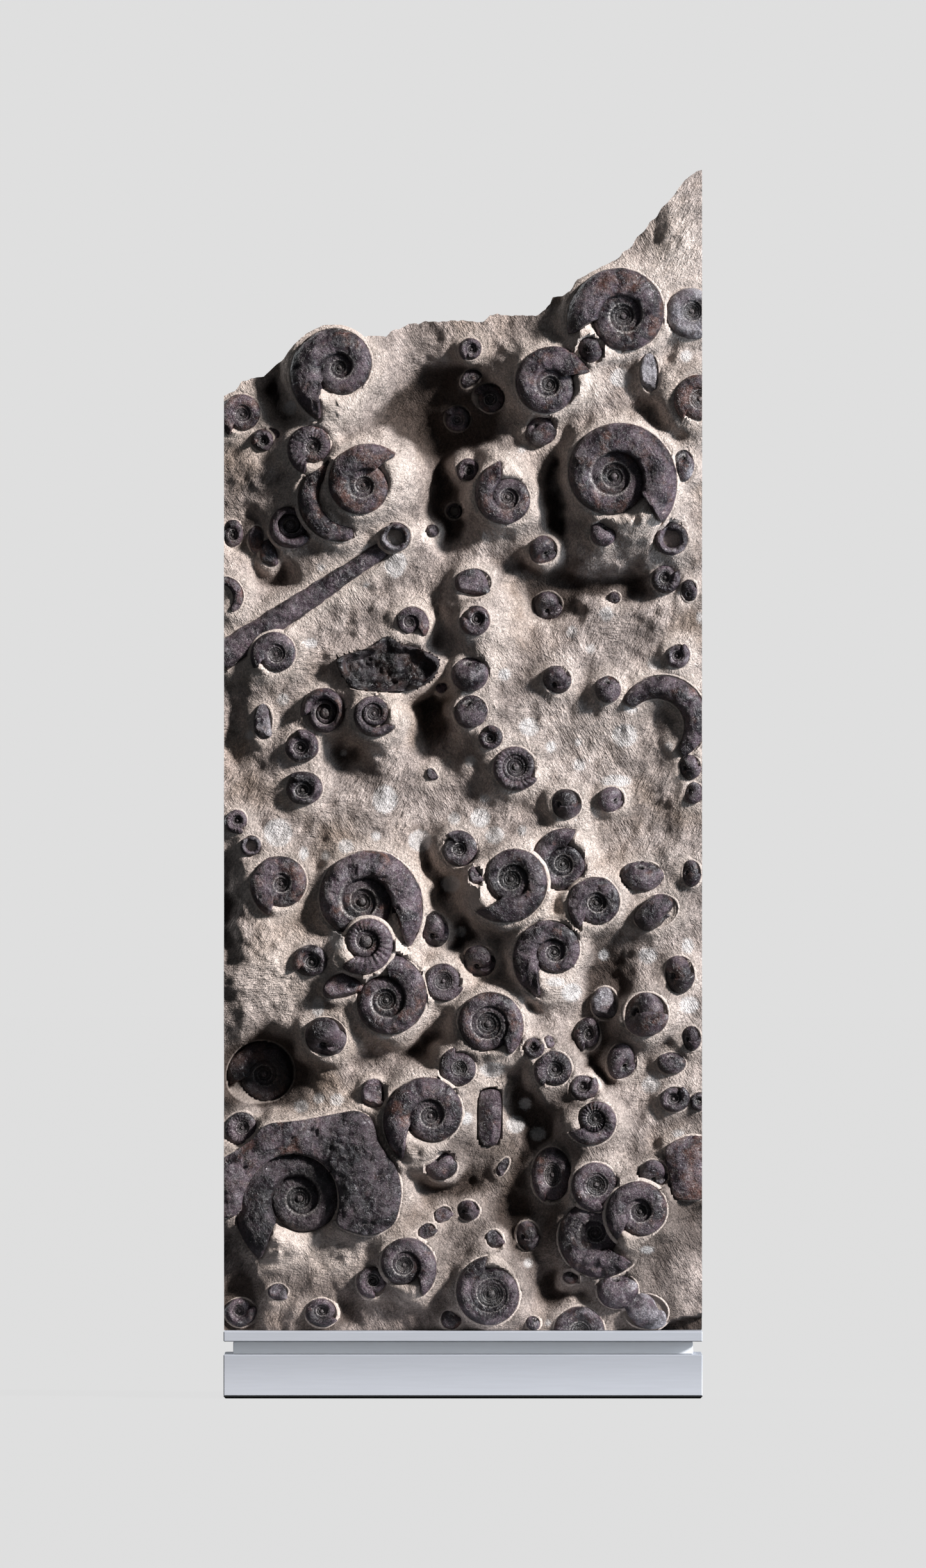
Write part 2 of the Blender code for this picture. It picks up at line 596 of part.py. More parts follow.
def rod_mesh(rod):
    """The front half of a tapering rod, about its tail."""
    bm = bmesh.new()
    along = Vector((rod.tip[0] - rod.tail[0], 0.0, rod.tip[1] - rod.tail[1]))
    bmesh.ops.create_cone(
        bm, cap_ends=True, segments=ROD_SIDES, radius1=rod.tail_width / 2.0, radius2=rod.tip_width / 2.0,
        depth=along.length,
    )
    bmesh.ops.translate(bm, vec=(0.0, 0.0, along.length / 2.0), verts=bm.verts)
    turn = Vector((0.0, 0.0, 1.0)).rotation_difference(along).to_matrix()
    bmesh.ops.rotate(bm, cent=(0.0, 0.0, 0.0), matrix=turn, verts=bm.verts)
    cut_flat(bm, (0.0, -SAME_PLACE, 0.0), (0.0, 1.0, 0.0))
    return bm


def plate_mesh(plate):
    """A broken plate with a raised edge and a flatter top."""
    bm = bmesh.new()
    face = bm.faces.new([bm.verts.new((x, 0.0, z)) for x, z in outline_of(plate)])
    face.normal_update()
    front = bmesh.ops.extrude_face_region(bm, geom=[face], use_keep_orig=True)["geom"]
    verts = [item for item in front if isinstance(item, bmesh.types.BMVert)]
    faces = [item for item in front if isinstance(item, bmesh.types.BMFace)]
    bmesh.ops.translate(bm, vec=(0.0, -plate.edge, 0.0), verts=verts)
    bmesh.ops.recalc_face_normals(bm, faces=bm.faces)
    rise = 0.5 * plate.inset
    bmesh.ops.inset_region(bm, faces=faces, thickness=plate.inset, depth=rise, use_even_offset=True)
    return bm


def cut_flat(bm, place, normal):
    """Cuts away what lies past a plane and closes the cut."""
    geometry = bm.verts[:] + bm.edges[:] + bm.faces[:]
    bmesh.ops.bisect_plane(
        bm, geom=geometry, dist=CUT_TOLERANCE, plane_co=place, plane_no=normal, clear_outer=True
    )
    edges = open_edges(bm)
    if edges:
        bmesh.ops.holes_fill(bm, edges=edges)


def shell_object(piece, collection, material):
    """A shell as an object, sawn off at the slab's sides and foot."""
    makers = {Coil: coil_mesh, Ball: ball_mesh, Crescent: crescent_mesh, Rod: rod_mesh, Plate: plate_mesh}
    bm = makers[type(piece)](piece)
    if isinstance(piece, Rod):
        centre = piece.tail
    elif isinstance(piece, Plate):
        centre = (0.0, 0.0)
    else:
        centre = (piece.x, piece.z)
    side = HALF_WIDTH - SEAT_GAP
    points = outline_of(piece)
    if max(x for x, _ in points) > side:
        cut_flat(bm, (side - centre[0], 0.0, 0.0), (1.0, 0.0, 0.0))
    if min(x for x, _ in points) < -side:
        cut_flat(bm, (-side - centre[0], 0.0, 0.0), (-1.0, 0.0, 0.0))
    if min(z for _, z in points) < SEAT_GAP:
        cut_flat(bm, (0.0, 0.0, SEAT_GAP - centre[1]), (0.0, 0.0, -1.0))
    place = (centre[0], -(piece.seat + SEAT_GAP), SLAB_FOOT + SEAT_GAP + centre[1])
    return new_object(piece.name, bm, collection, material, place)


def overlaps(upper, lower):
    """Whether the outline of the upper shell, with its margin, reaches over the lower one."""
    edge = np.array(grown(outline_of(upper), CUT_MARGIN))
    other = np.array(outline_of(lower))
    corners_inside = distance_outside(edge[:, 0], edge[:, 1], outline_of(lower)).min() < 0.0
    return corners_inside or distance_outside(other[:, 0], other[:, 1], [tuple(p) for p in edge]).min() < 0.0


def cutter_object(piece, collection):
    """A prism through the whole slab with a shell's outline and its margin."""
    bm = bmesh.new()
    points = grown(outline_of(piece), CUT_MARGIN)
    face = bm.faces.new([bm.verts.new((x, BACK_DEPTH, z)) for x, z in points])
    front = bmesh.ops.extrude_face_region(bm, geom=[face], use_keep_orig=True)["geom"]
    verts = [item for item in front if isinstance(item, bmesh.types.BMVert)]
    bmesh.ops.translate(bm, vec=(0.0, -3.0 * BACK_DEPTH, 0.0), verts=verts)
    cutter = new_object(piece.name + "_outline", bm, collection, place=(0.0, 0.0, SLAB_FOOT + SEAT_GAP))
    cutter.hide_render = True
    cutter.display_type = "WIRE"
    return cutter


def thinned(points, kept, spacing):
    """The points that keep their distance from each other and from those already kept."""
    chosen = []
    everything = [Vector(point) for point in kept]
    for point in points:
        place = Vector(point)
        if all((place - other).length > spacing for other in everything):
            everything.append(place)
            chosen.append(point)
    return chosen


def triangulated(outline, loops, points):
    """The plan of a surface as places and triangles: an outline, break lines across it and loose points."""
    places, edges = [], []
    for loop in [outline] + loops:
        start = len(places)
        places += loop
        edges += [(start + i, start + (i + 1) % len(loop)) for i in range(len(loop))]
    places += points
    result = delaunay_2d_cdt([Vector(place) for place in places], edges, [], 0, PLAN_TOLERANCE)
    plan = np.array([tuple(place) for place in result[0]])
    faces = [tuple(face) for face in result[2]]
    middles = plan[np.array(faces)].mean(axis=1)
    within = distance_outside(middles[:, 0], middles[:, 1], outline) < 0.0
    return plan, [face for face, keep in zip(faces, within) if keep]


def loose_points(pieces, outline):
    """Places between the shells: the lumps, rings round their feet and the pedestals', and a grid elsewhere."""
    rings = [
        point for piece in pieces for point in grown(outline_of(piece), RING_SHARE * piece.spread)[::2]
    ]
    lumps, feet = [], []
    for x, z, width, tall, tilt, _ in LUMPS:
        lumps.append((float(x), float(z)))
        for index in range(LUMP_SIDES):
            angle = 2.0 * math.pi * index / LUMP_SIDES
            dx, dz = turned(width * math.cos(angle), tall * math.sin(angle), tilt)
            lumps.append((x + LUMP_RIM * dx, z + LUMP_RIM * dz))
            dx, dz = turned(dx, dz, 180.0 / LUMP_SIDES)
            beyond = 1.0 + LUMP_FOOT / math.hypot(dx, dz)
            feet.append((x + beyond * dx, z + beyond * dz))
    top = max(z for _, z in TOP_EDGE)
    grid = []
    for row in range(int(top / GROUND_STEP) + 1):
        shift = 0.5 * (row % 2)
        for column in range(int(2.0 * HALF_WIDTH / GROUND_STEP) + 1):
            grid.append((-HALF_WIDTH + GROUND_STEP * (column + shift), GROUND_STEP * (row + 0.5)))
    kept = thinned(lumps, outline, LUMP_SPACING)
    kept += thinned(feet, outline + kept, FOOT_SPACING)
    kept += thinned(rings, outline + kept, FOOT_SPACING)
    kept += thinned(grid, outline + kept, GROUND_SPACING)
    plan = np.array(kept)
    free = distance_outside(plan[:, 0], plan[:, 1], outline) < -POINT_MARGIN
    free &= distance_outside(plan[:, 0], plan[:, 1], grown(outline_of_hollow(), CLIFF_MARGIN)) > POINT_MARGIN
    for piece in pieces:
        free &= distance_outside(plan[:, 0], plan[:, 1], outline_of(piece)) > PAD_MARGIN + POINT_MARGIN
    return [tuple(point) for point, keep in zip(plan, free) if keep]


def outline_of_hollow():
    """The outline of the hollow at the lower right corner, counter-clockwise."""
    return CORNER_HOLLOW if signed_area(CORNER_HOLLOW) > 0 else CORNER_HOLLOW[::-1]


def front_heights(plan, pieces):
    """The height of each place of the front: flat under a shell, and the open surface elsewhere."""
    x, z = plan[:, 0], plan[:, 1]
    heights = surface(x, z, pieces)
    hollow = distance_outside(x, z, outline_of_hollow()) < ON_OUTLINE
    heights = np.where(hollow, HOLLOW_HEIGHT, heights)
    for piece in sorted(pieces, key=lambda item: item.seat):
        pad = distance_outside(x, z, grown(outline_of(piece), PAD_MARGIN)) < ON_OUTLINE
        heights = np.where(pad, piece.seat, heights)
    return heights


def slab_mesh(pieces):
    """The slab: a faceted front with a flat pad under each shell, sawn sides and a rough back."""
    outline = slab_outline()
    loops = [grown(outline_of(piece), PAD_MARGIN) for piece in pieces]
    for upper in pieces:
        if any(lower.seat < upper.seat and overlaps(upper, lower) for lower in pieces if lower is not upper):
            loops.append(grown(outline_of(upper), CLIFF_MARGIN))
    hollow = outline_of_hollow()
    loops += [hollow, grown(hollow, CLIFF_MARGIN)]
    plan, faces = triangulated(outline, loops, loose_points(pieces, outline))
    heights = front_heights(plan, pieces)

    bm = bmesh.new()
    verts = [bm.verts.new((x, -height, z)) for (x, z), height in zip(plan, heights)]
    for face in faces:
        bm.faces.new([verts[index] for index in face])
    bmesh.ops.delete(bm, geom=[vert for vert in bm.verts if not vert.link_faces], context="VERTS")
    sides = bmesh.ops.extrude_edge_only(bm, edges=open_edges(bm))["geom"]
    rim = [item for item in sides if isinstance(item, bmesh.types.BMVert)]
    for vert in rim:
        vert.co.y = back_depth(vert.co.x, vert.co.z)
    ordered = ordered_loop(rim, set(rim))
    steps = int(2.0 * HALF_WIDTH / BACK_STEP), int(TOP_EDGE[-1][1] / BACK_STEP)
    inner = [
        (-HALF_WIDTH + BACK_STEP * (i + 0.5), BACK_STEP * (j + 0.5))
        for i in range(steps[0])
        for j in range(steps[1])
    ]
    inner = thinned(inner, ordered, BACK_CLEARANCE * BACK_STEP)
    places = np.array(inner)
    depth_inside = distance_outside(places[:, 0], places[:, 1], ordered)
    inner = [point for point, depth in zip(inner, depth_inside) if depth < -BACK_MARGIN * BACK_STEP]
    back_plan, back_faces = triangulated(ordered, [], inner)
    back = [bm.verts.new((x, back_depth(x, z), z)) for x, z in back_plan]
    for face in back_faces:
        bm.faces.new([back[index] for index in face])
    bmesh.ops.remove_doubles(bm, verts=rim + back, dist=SAME_BACK_PLACE)
    return bm


def back_depth(x, z):
    """How far the split back lies behind the plane y = 0."""
    wave = math.sin(x / 83.0 + 0.8) * math.cos(z / 121.0) + 0.5 * math.sin((x + z) / 47.0)
    return BACK_DEPTH + BACK_ROUGHNESS * (wave - 1.0) / 1.5


def ordered_loop(verts, members):
    """The places of a closed ring of vertices, counter-clockwise."""
    start = verts[0]
    loop, last, current = [start], None, start
    while True:
        following = [
            edge.other_vert(current) for edge in current.link_edges if edge.other_vert(current) in members
        ]
        step = next(vert for vert in following if vert is not last)
        if step is start:
            break
        loop.append(step)
        last, current = current, step
    points = [(vert.co.x, vert.co.z) for vert in loop]
    return points if signed_area(points) > 0 else points[::-1]


def plinth_box(name, low, high, inset, collection, material, front_inset=0.0):
    """A box of the plinth between two levels, set back at the sides and at the front, with its edges eased."""
    bm = bmesh.new()
    bmesh.ops.create_cube(bm, size=1.0)
    size = (PLINTH_WIDTH - 2.0 * inset, PLINTH_DEPTH - 2.0 * front_inset, high - low)
    bmesh.ops.scale(bm, vec=size, verts=bm.verts)
    obj = new_object(name, bm, collection, material, (0.0, 0.0, (low + high) / 2.0))
    modifier = obj.modifiers.new("eased_edges", "BEVEL")
    modifier.width = EDGE_BEVEL * MM
    modifier.segments = 1
    return obj


def foot_pad(collection, material):
    """The black pad under the plinth, with its lower edges chamfered."""
    bm = bmesh.new()
    bmesh.ops.create_cube(bm, size=1.0)
    bmesh.ops.scale(bm, vec=(PLINTH_WIDTH, PLINTH_DEPTH, FOOT_HEIGHT), verts=bm.verts)
    lower = [edge for edge in bm.edges if all(vert.co.z < 0.0 for vert in edge.verts)]
    bmesh.ops.bevel(bm, geom=lower, offset=FOOT_CHAMFER, segments=1, affect="EDGES", profile=0.5)
    return new_object("foot_pad", bm, collection, material, (0.0, 0.0, FOOT_HEIGHT / 2.0))


def build_plinth(collection):
    """The foot, the block, the recessed neck and the top plate."""
    metal = new_material("plinth_metal", METAL, 0.35, 0.6)
    recess = new_material("plinth_recess", RECESS, 0.5, 0.3)
    rubber = new_material("foot_rubber", RUBBER, 0.8)
    foot_pad(collection, rubber)
    block_top = FOOT_HEIGHT + BLOCK_HEIGHT
    neck_top = block_top + NECK_HEIGHT
    plinth_box("plinth_block", FOOT_HEIGHT + SEAT_GAP, block_top, 0.0, collection, metal)
    plinth_box("plinth_neck", block_top + SEAT_GAP, neck_top, NECK_INSET, collection, recess, NECK_FRONT_INSET)
    plinth_box("plinth_top", neck_top + SEAT_GAP, SLAB_FOOT, 0.0, collection, metal)


def build_plate():
    """The whole object, in a collection of its own, with the cutters in another."""
    for obj in list(bpy.data.objects):
        bpy.data.objects.remove(obj)
    collection = bpy.data.collections.new(OBJECT_NAME)
    cutters = bpy.data.collections.new("cutters")
    bpy.context.scene.collection.children.link(collection)
    bpy.context.scene.collection.children.link(cutters)
    build_plinth(collection)

    stone = new_material("matrix_stone", STONE, 0.9)
    shell_stone = new_material("fossil_stone", SHELL, 0.45)
    pieces = COILS + BALLS + CRESCENTS + RODS + PLATES
    new_object("matrix_slab", slab_mesh(pieces), collection, stone, (0.0, 0.0, SLAB_FOOT + SEAT_GAP))
    shells = {piece.name: shell_object(piece, collection, shell_stone) for piece in pieces}
    for upper in pieces:
        covered = [lower for lower in pieces if lower.seat < upper.seat and overlaps(upper, lower)]
        if not covered:
            continue
        cutter = cutter_object(upper, cutters)
        for lower in covered:
            cut = shells[lower.name].modifiers.new("under_" + upper.name, "BOOLEAN")
            cut.operation = "DIFFERENCE"
            cut.object = cutter


build_plate()
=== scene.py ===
"""Looks for the ammonite cluster plate: a slab of prepared rock, crowded with coiled shells, on a plinth.

Lengths are in millimetres up to the point where they go into a mesh, and MM turns them into metres. A shell's
place is given from the middle of the slab's foot, with x to the right and z up. A height is how far a surface
stands in front of the plane y = 0. The shells face -Y.
"""

import itertools
import logging
import math
from collections.abc import Callable, Iterable, Iterator, Sequence
from contextlib import contextmanager
from dataclasses import dataclass, field, replace
from enum import Enum

import bpy
import numpy as np
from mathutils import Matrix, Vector


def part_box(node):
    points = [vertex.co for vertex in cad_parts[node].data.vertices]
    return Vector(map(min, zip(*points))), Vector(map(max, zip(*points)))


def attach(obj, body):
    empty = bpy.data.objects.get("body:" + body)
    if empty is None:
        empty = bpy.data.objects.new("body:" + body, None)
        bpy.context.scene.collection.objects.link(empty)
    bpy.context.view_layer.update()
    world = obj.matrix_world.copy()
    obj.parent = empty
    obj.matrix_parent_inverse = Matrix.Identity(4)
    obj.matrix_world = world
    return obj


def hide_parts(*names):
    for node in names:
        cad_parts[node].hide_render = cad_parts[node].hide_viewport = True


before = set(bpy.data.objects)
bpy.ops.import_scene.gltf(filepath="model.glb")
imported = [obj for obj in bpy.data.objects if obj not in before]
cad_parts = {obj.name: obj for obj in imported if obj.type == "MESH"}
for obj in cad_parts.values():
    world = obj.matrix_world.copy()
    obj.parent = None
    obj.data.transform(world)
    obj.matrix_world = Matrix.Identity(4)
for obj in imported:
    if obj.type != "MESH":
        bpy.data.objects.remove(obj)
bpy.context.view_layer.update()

LOG = logging.getLogger("ammonite_cluster_plate")
MM = 0.001
BODY = "root"

# The slab stands on the plinth, with the gap that the solids keep
SEAT_GAP = 0.3
SLAB_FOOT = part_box("matrix_slab")[0].z / MM
HALF_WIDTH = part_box("matrix_slab")[1].x / MM

# The ground between the shells, and how it rises to them
GROUND_HEIGHT = 30.0
LOWEST_HEIGHT = -14.0
PEDESTAL_SPREAD = 13.0
SMALL_SPREAD = 9.0
COVERED_SPREAD = 3.0
SHOULDER = 1.4
FILL = 0.22
SMALLEST_WEDGE = 24.0
WEDGE_OFFSETS = (0.0, 0.14, 0.28, 0.44, 0.60, 0.74, 0.86, 1.0)
WEDGE_HEIGHTS = (0.0, 0.60, 0.85, 0.95, 0.85, 0.62, 0.36, 0.0)
MERGE_POWER = 4.0
SWELL_POWER = 1.3
LINK_REACH = 36.0
WARP = 9.0
STROKE_REACH = 14.0
ON_OUTLINE = 0.4
SAME_SEAT = 0.1
LINK_SHARE = 0.55
BED_REACH = 90.0
FAR = 60.0
FAINT = 0.3

# The rock's grid: what counts as its border, and how near an outline, in squares, a point moves onto it
ON_BORDER = 1e-4
SNAP_SHARE = 0.45

# The sides' first step backwards, and the heights between which the sawn sides give way to the broken top
FIRST_STEP = 10.0
SAWN_UP_TO = 900.0
BROKEN_FROM = 1100.0
NEAR_TOP = 0.97

# The split back, which keeps a margin inside the slab's outline
BACK_DEPTH = 70.0
BACK_ROUGHNESS = 5.0
BACK_MARGIN = 9.0


class Slot(Enum):
    """The record's material slots."""

    MATRIX = "matrix_stone"
    FOSSIL = "fossil_stone"
    METAL = "plinth_metal"
    RECESS = "plinth_recess"
    RUBBER = "foot_rubber"


class Kind(Enum):
    """The forms of the small shells."""

    COIL = "coil"
    RIBBED = "ribbed"
    RING = "ring"
    CUP = "cup"
    ROUND = "round"
    FRAGMENT = "fragment"


@dataclass(frozen=True)
class Sculpture:
    """How a coil is wound and what stands on its surface.

    The first whorl's growth belongs to the shell. inner_growth is that of the whorls inside it. Ribs are
    counted in a turn, their depth is a share of the whorl's radius, and they show from ribs_from turns back.
    """

    inner_growth: float = 1.6
    turns: float = 4.2
    ribs: int = 0
    rib_depth: float = 0.0
    ribs_from: float = 0.0
    thread: float = 0.012
    sinking: float = 0.80
    crown: float = 0.27
    slant: float = 0.035
    rugged: float = 1.0


LONG_TAIL = 0.085
SMOOTH = Sculpture()
INNER_RIBS = Sculpture(ribs=26, rib_depth=0.020, ribs_from=0.9, inner_growth=1.55, turns=4.6)
FINE_RINGS = Sculpture(inner_growth=1.32, turns=6.2, sinking=0.93, thread=0.020, rugged=0.5)
RIBBED = Sculpture(ribs=24, rib_depth=0.035, inner_growth=1.5, turns=4.2, rugged=0.6)
BEADED = Sculpture(ribs=22, rib_depth=0.060, ribs_from=0.35, inner_growth=1.45, turns=4.6, rugged=0.7)
DEEP = Sculpture(inner_growth=1.75, turns=4.0, sinking=0.60, rugged=1.25)
DEEP_TAIL = replace(DEEP, slant=LONG_TAIL)
RIBBED_TAIL = replace(INNER_RIBS, slant=LONG_TAIL)
CHIPPED = Sculpture(inner_growth=1.7, turns=3.8, sinking=0.7, rugged=1.8)
CHIPPED_TAIL = replace(CHIPPED, slant=LONG_TAIL)
GLOBE = Sculpture(inner_growth=1.5, turns=2.2, crown=0.62, thread=0.0, rugged=0.5, slant=0.05, sinking=1.0)


@dataclass(frozen=True)
class Coil:
    """A coiled shell.

    Its radius is reach at the aperture's angle in degrees, and the last whorl grows by growth. mouth is how
    far the rock fills the mouth, and rim how high the rock's thin rim stands round the shell.
    """

    name: str
    x: float
    z: float
    reach: float
    aperture: float
    hand: int
    growth: float = 2.0
    umbilicus: float = 0.42
    squash: float = 1.0
    spread: float = PEDESTAL_SPREAD
    sculpture: Sculpture = SMOOTH
    brown: float = 0.35
    pale: float = 0.0
    mouth: float = 0.75
    # The shell's factor is painted light and shade on the whole shell: below 1 it darkens a shell that lies in
    # shadow, above 1 it lightens it
    tone: float = 1.0
    rim: float = 1.0


@dataclass(frozen=True)
class Ball:
    """A round shell, seen from its rim. tip is how far its axis is turned from the viewer, towards turn."""

    name: str
    x: float
    z: float
    width: float
    height: float
    tilt: float
    bulge: float = 0.8
    tip: float = 55.0
    turn: float = 200.0
    brown: float = 0.2
    pale: float = 0.2


@dataclass(frozen=True)
class Crescent:
    """A length of one whorl, between two radii and two angles in degrees."""

    name: str
    x: float
    z: float
    outer: float
    inner: float
    start: float
    end: float
    brown: float = 0.5


@dataclass(frozen=True)
class Rod:
    """A straight tapering shell between two points, with its width at each."""

    name: str
    tail: tuple[float, float]
    tail_width: float
    tip: tuple[float, float]
    tip_width: float


@dataclass(frozen=True)
class Plate:
    """A broken piece of shell, with the flakes that still lie on it as outlines of their own."""

    name: str
    outline: tuple[tuple[float, float], ...]
    edge: float
    inset: float
    flakes: tuple[tuple[tuple[float, float], ...], ...] = ()
    brown: float = 0.3
    relief: float = 1.0
    sink: float = 0.0
    # The plate's factor is painted light and shade on the whole plate: below 1 it darkens a plate that lies in
    # shadow
    tone: float = 1.0
    cream: float = 1.0
    turning: float = 0.0


@dataclass(frozen=True)
class Small:
    """A small shell: half its width and height, its tilt, its rise, its form and its aperture."""

    x: float
    z: float
    width: float
    height: float
    tilt: float
    rise: float
    kind: Kind = Kind.COIL
    aperture: float = 0.0
    hand: int = 1
    brown: float = 0.3
    pale: float = 0.0


COILS = [
    Coil("ammonite_top_left", -155, 1207, 72, 250, 1, 2.3, 0.34, sculpture=DEEP_TAIL),
    Coil("ammonite_left_edge", -277, 1149, 31, 240, 1, 1.6, sculpture=INNER_RIBS, brown=0.6),
    Coil("ammonite_ribbed", -189, 1108, 36, 255, 1, 1.9, sculpture=RIBBED),
    Coil("ammonite_domed", -125, 1060, 57, 42, -1, 2.0, 0.36, sculpture=INNER_RIBS, brown=0.75),
    Coil("ammonite_small_upper", -67, 888, 27, -45, -1, 2.2),
    Coil("ammonite_deep_upper", 34, 1168, 22, 160, 1, 1.5, sculpture=DEEP),
    Coil("ammonite_upper_centre", 56, 1045, 48, 100, -1, 2.1, brown=0.6),
    Coil("ammonite_upper_right", 108, 1186, 54, 15, -1, 1.75, 0.34, brown=0.4),
    Coil("ammonite_high_right", 201, 1272, 73, 200, 1, 1.9, 0.40, sculpture=INNER_RIBS, brown=0.5),
    Coil("ammonite_pale_edge", 287, 1278, 36, 300, 1, 1.4, sculpture=FINE_RINGS, pale=0.8),
    Coil("ammonite_brown_edge", 297, 1168, 34, 230, 1, 1.3, spread=24.0, sculpture=FINE_RINGS, brown=0.95),
    Coil("ammonite_great_right", 189, 1071, 86, -45, -1, 1.95, 0.44, sculpture=DEEP, brown=0.45),
    Coil("ammonite_mid_ribbed", 66, 707, 32, -30, 1, 1.4, 0.58, sculpture=RIBBED, brown=0.2),
    Coil("ammonite_mid_left", -235, 848, 33, 215, 1, 1.6, sculpture=FINE_RINGS, brown=0.1),
    Coil("ammonite_on_cone", -112, 774, 33, -30, 1, 1.9, 0.55, spread=17.0, sculpture=INNER_RIBS),
    Coil("ammonite_centre", -5, 603, 25, 130, 1, 1.3, 0.35, brown=0.1, pale=0.3),
    Coil("ammonite_lobed", -228, 560, 42, 250, 1, 1.5, 0.30, sculpture=CHIPPED, brown=0.6),
    Coil(
        "ammonite_great_centre", -127, 538, 84, -45, -1, 2.1, 0.44, sculpture=CHIPPED_TAIL,
        brown=0.4, pale=0.2, tone=1.15,
    ),
    Coil("ammonite_tan_centre", -122, 488, 45, 226, -1, 2.05, 0.46, sculpture=replace(RIBBED, turns=2.1)),
    Coil("ammonite_ringed", -97, 414, 62, 95, 1, 2.05, 0.44, sculpture=INNER_RIBS, brown=0.5),
    Coil("ammonite_small_ringed", -25, 438, 27, -15, 1, 1.3, 0.5, sculpture=FINE_RINGS),
    Coil("ammonite_pit", -250, 321, 47, 200, 1, 1.5, 0.36, sculpture=CHIPPED, brown=0.6, tone=0.5),
    Coil("ammonite_mid_right", 60, 566, 60, 222, -1, 2.05, 0.44, sculpture=RIBBED_TAIL, brown=0.4, tone=0.66),
    Coil("ammonite_half_hidden", 125, 585, 47, 66, -1, 1.9, sculpture=INNER_RIBS, brown=0.1),
    Coil("ammonite_lit_rim", 167, 536, 39, 238, 1, 1.5, 0.36, sculpture=CHIPPED, brown=0.2),
    Coil("ammonite_scarred", 114, 474, 61, 253, 1, 2.45, 0.38, sculpture=CHIPPED_TAIL, brown=0.3),
    Coil("ammonite_lower_centre", 31, 384, 48, -56, -1, 1.5, 0.52, sculpture=INNER_RIBS, brown=0.5),
    Coil("ammonite_small_right", 115, 327, 27, 235, 1, 1.4, sculpture=RIBBED),
    Coil("ammonite_small_left", -277, 254, 24, 285, 1, 1.4, sculpture=RIBBED),
    Coil(
        "ammonite_great_inner", -205, 165, 92, 238, 1, 2.4, 0.42, brown=0.2, tone=0.66, rim=0.0,
        sculpture=replace(INNER_RIBS, sinking=0.55),
    ),
    Coil("ammonite_low_centre", -41, 269, 67, 238, 1, 2.2, 0.38, sculpture=RIBBED_TAIL, brown=0.5),
    Coil("ammonite_twin", -5, 329, 27, 100, -1, 1.4, sculpture=FINE_RINGS, brown=0.1),
    Coil("ammonite_low_notched", -74, 82, 46, -60, -1, 2.0, 0.46, sculpture=replace(FINE_RINGS, slant=0.06)),
    Coil("ammonite_foot_centre", 35, 46, 48, 95, -1, 1.5, 0.55, sculpture=FINE_RINGS),
    Coil("ammonite_beaded", 165, 265, 37, 205, -1, 2.05, 0.48, sculpture=BEADED),
    Coil("ammonite_egg", 112, 195, 37, 250, 1, 1.15, 0.4, squash=0.72, sculpture=FINE_RINGS, brown=0.4),
    Coil("ammonite_fine_ringed", 167, 182, 34, -70, 1, 1.35, 0.5, sculpture=FINE_RINGS, brown=0.3),
    Coil("ammonite_low_right", 222, 149, 46, 232, 1, 1.6, 0.38, sculpture=DEEP, brown=0.3),
    Coil("ammonite_broken_half", 166, 122, 62, -38, 1, 2.1, 0.36, sculpture=CHIPPED, brown=0.3),
    Coil("ammonite_foot_cut", 147, -2, 34, 200, 1, 1.2, sculpture=FINE_RINGS, pale=0.2),
]

BALLS = [
    Ball("goniatite_heart", 9, 823, 23, 22, 0, turn=100),
    Ball("goniatite_shiny", 130, 660, 19, 19, 0, turn=190, brown=0.0, pale=0.3),
    Ball("goniatite_left", -172, 368, 26, 25, 0, turn=260),
    Ball("goniatite_pale_arc", 230, 396, 28, 28, 0, turn=170, brown=0.5),
    Ball("goniatite_venter", 242, 525, 29, 21, 20, bulge=0.9, tip=80, turn=300),
    Ball("goniatite_foot", 194, 50, 26, 23, 0, turn=90),
    Ball("knob_foot", 229, 24, 29, 22, -10, tip=80, turn=30, pale=0.7),
]

CRESCENTS = [
    Crescent("whorl_beside_dome", -148, 1045, 60, 32, 112, 284, brown=0.5),
    Crescent("whorl_left_edge", -303, 920, 28, 14, 96, -56),
    Crescent("whorl_right", 247, 762, 62, 29, 150, -56, brown=0.2),
]

STRAIGHT_SHELL = Rod("straight_shell", (-306, 843), 37, (-88, 988), 20)

PLATES = [
    Plate(
        "great_whorl_plate",
        (
            (-306, 214), (-284, 226), (-264, 240), (-248, 260), (-205, 263), (-165, 271), (-133, 277),
            (-113, 266), (-106, 234), (-82, 203), (-76, 172), (-84, 134), (-104, 121), (-124, 118),
            (-162, 131), (-154, 160), (-160, 191), (-179, 213), (-207, 223), (-237, 218), (-261, 199),
            (-276, 172), (-278, 146), (-306, 138),
        ),
        9.0, 6.0,
        flakes=(
            ((-189, 262), (-165, 269), (-133, 274), (-116, 264), (-122, 238), (-150, 232), (-180, 244)),
            (
                (-172, 232), (-122, 238), (-104, 228), (-84, 200), (-80, 172), (-96, 140), (-130, 132),
                (-156, 150),
            ),
        ),
        relief=1.9, turning=-172.0, tone=0.9,
    ),
    Plate(
        "broken_shell",
        (
            (-162, 844), (-112, 858), (-97, 873), (-77, 860), (-57, 857), (-29, 843), (-30, 829), (-41, 813),
            (-67, 801), (-115, 801), (-139, 805), (-154, 823),
        ),
        8.0, 7.0, flakes=(((-100, 866), (-77, 856), (-50, 850), (-48, 826), (-80, 812), (-104, 830)),),
        relief=3.2, brown=0.7, sink=13.0, tone=0.32, cream=0.0,
    ),
    Plate(
        "shell_block_right",
        ((252, 226), (262, 237), (284, 245), (306, 243), (306, 165), (286, 163), (263, 165), (258, 200)),
        10.0, 7.0, brown=0.9,
    ),
    Plate("shell_block_low", ((18, 231), (47, 231), (49, 300), (34, 304), (19, 300)), 10.0, 6.0, brown=0.2),
]

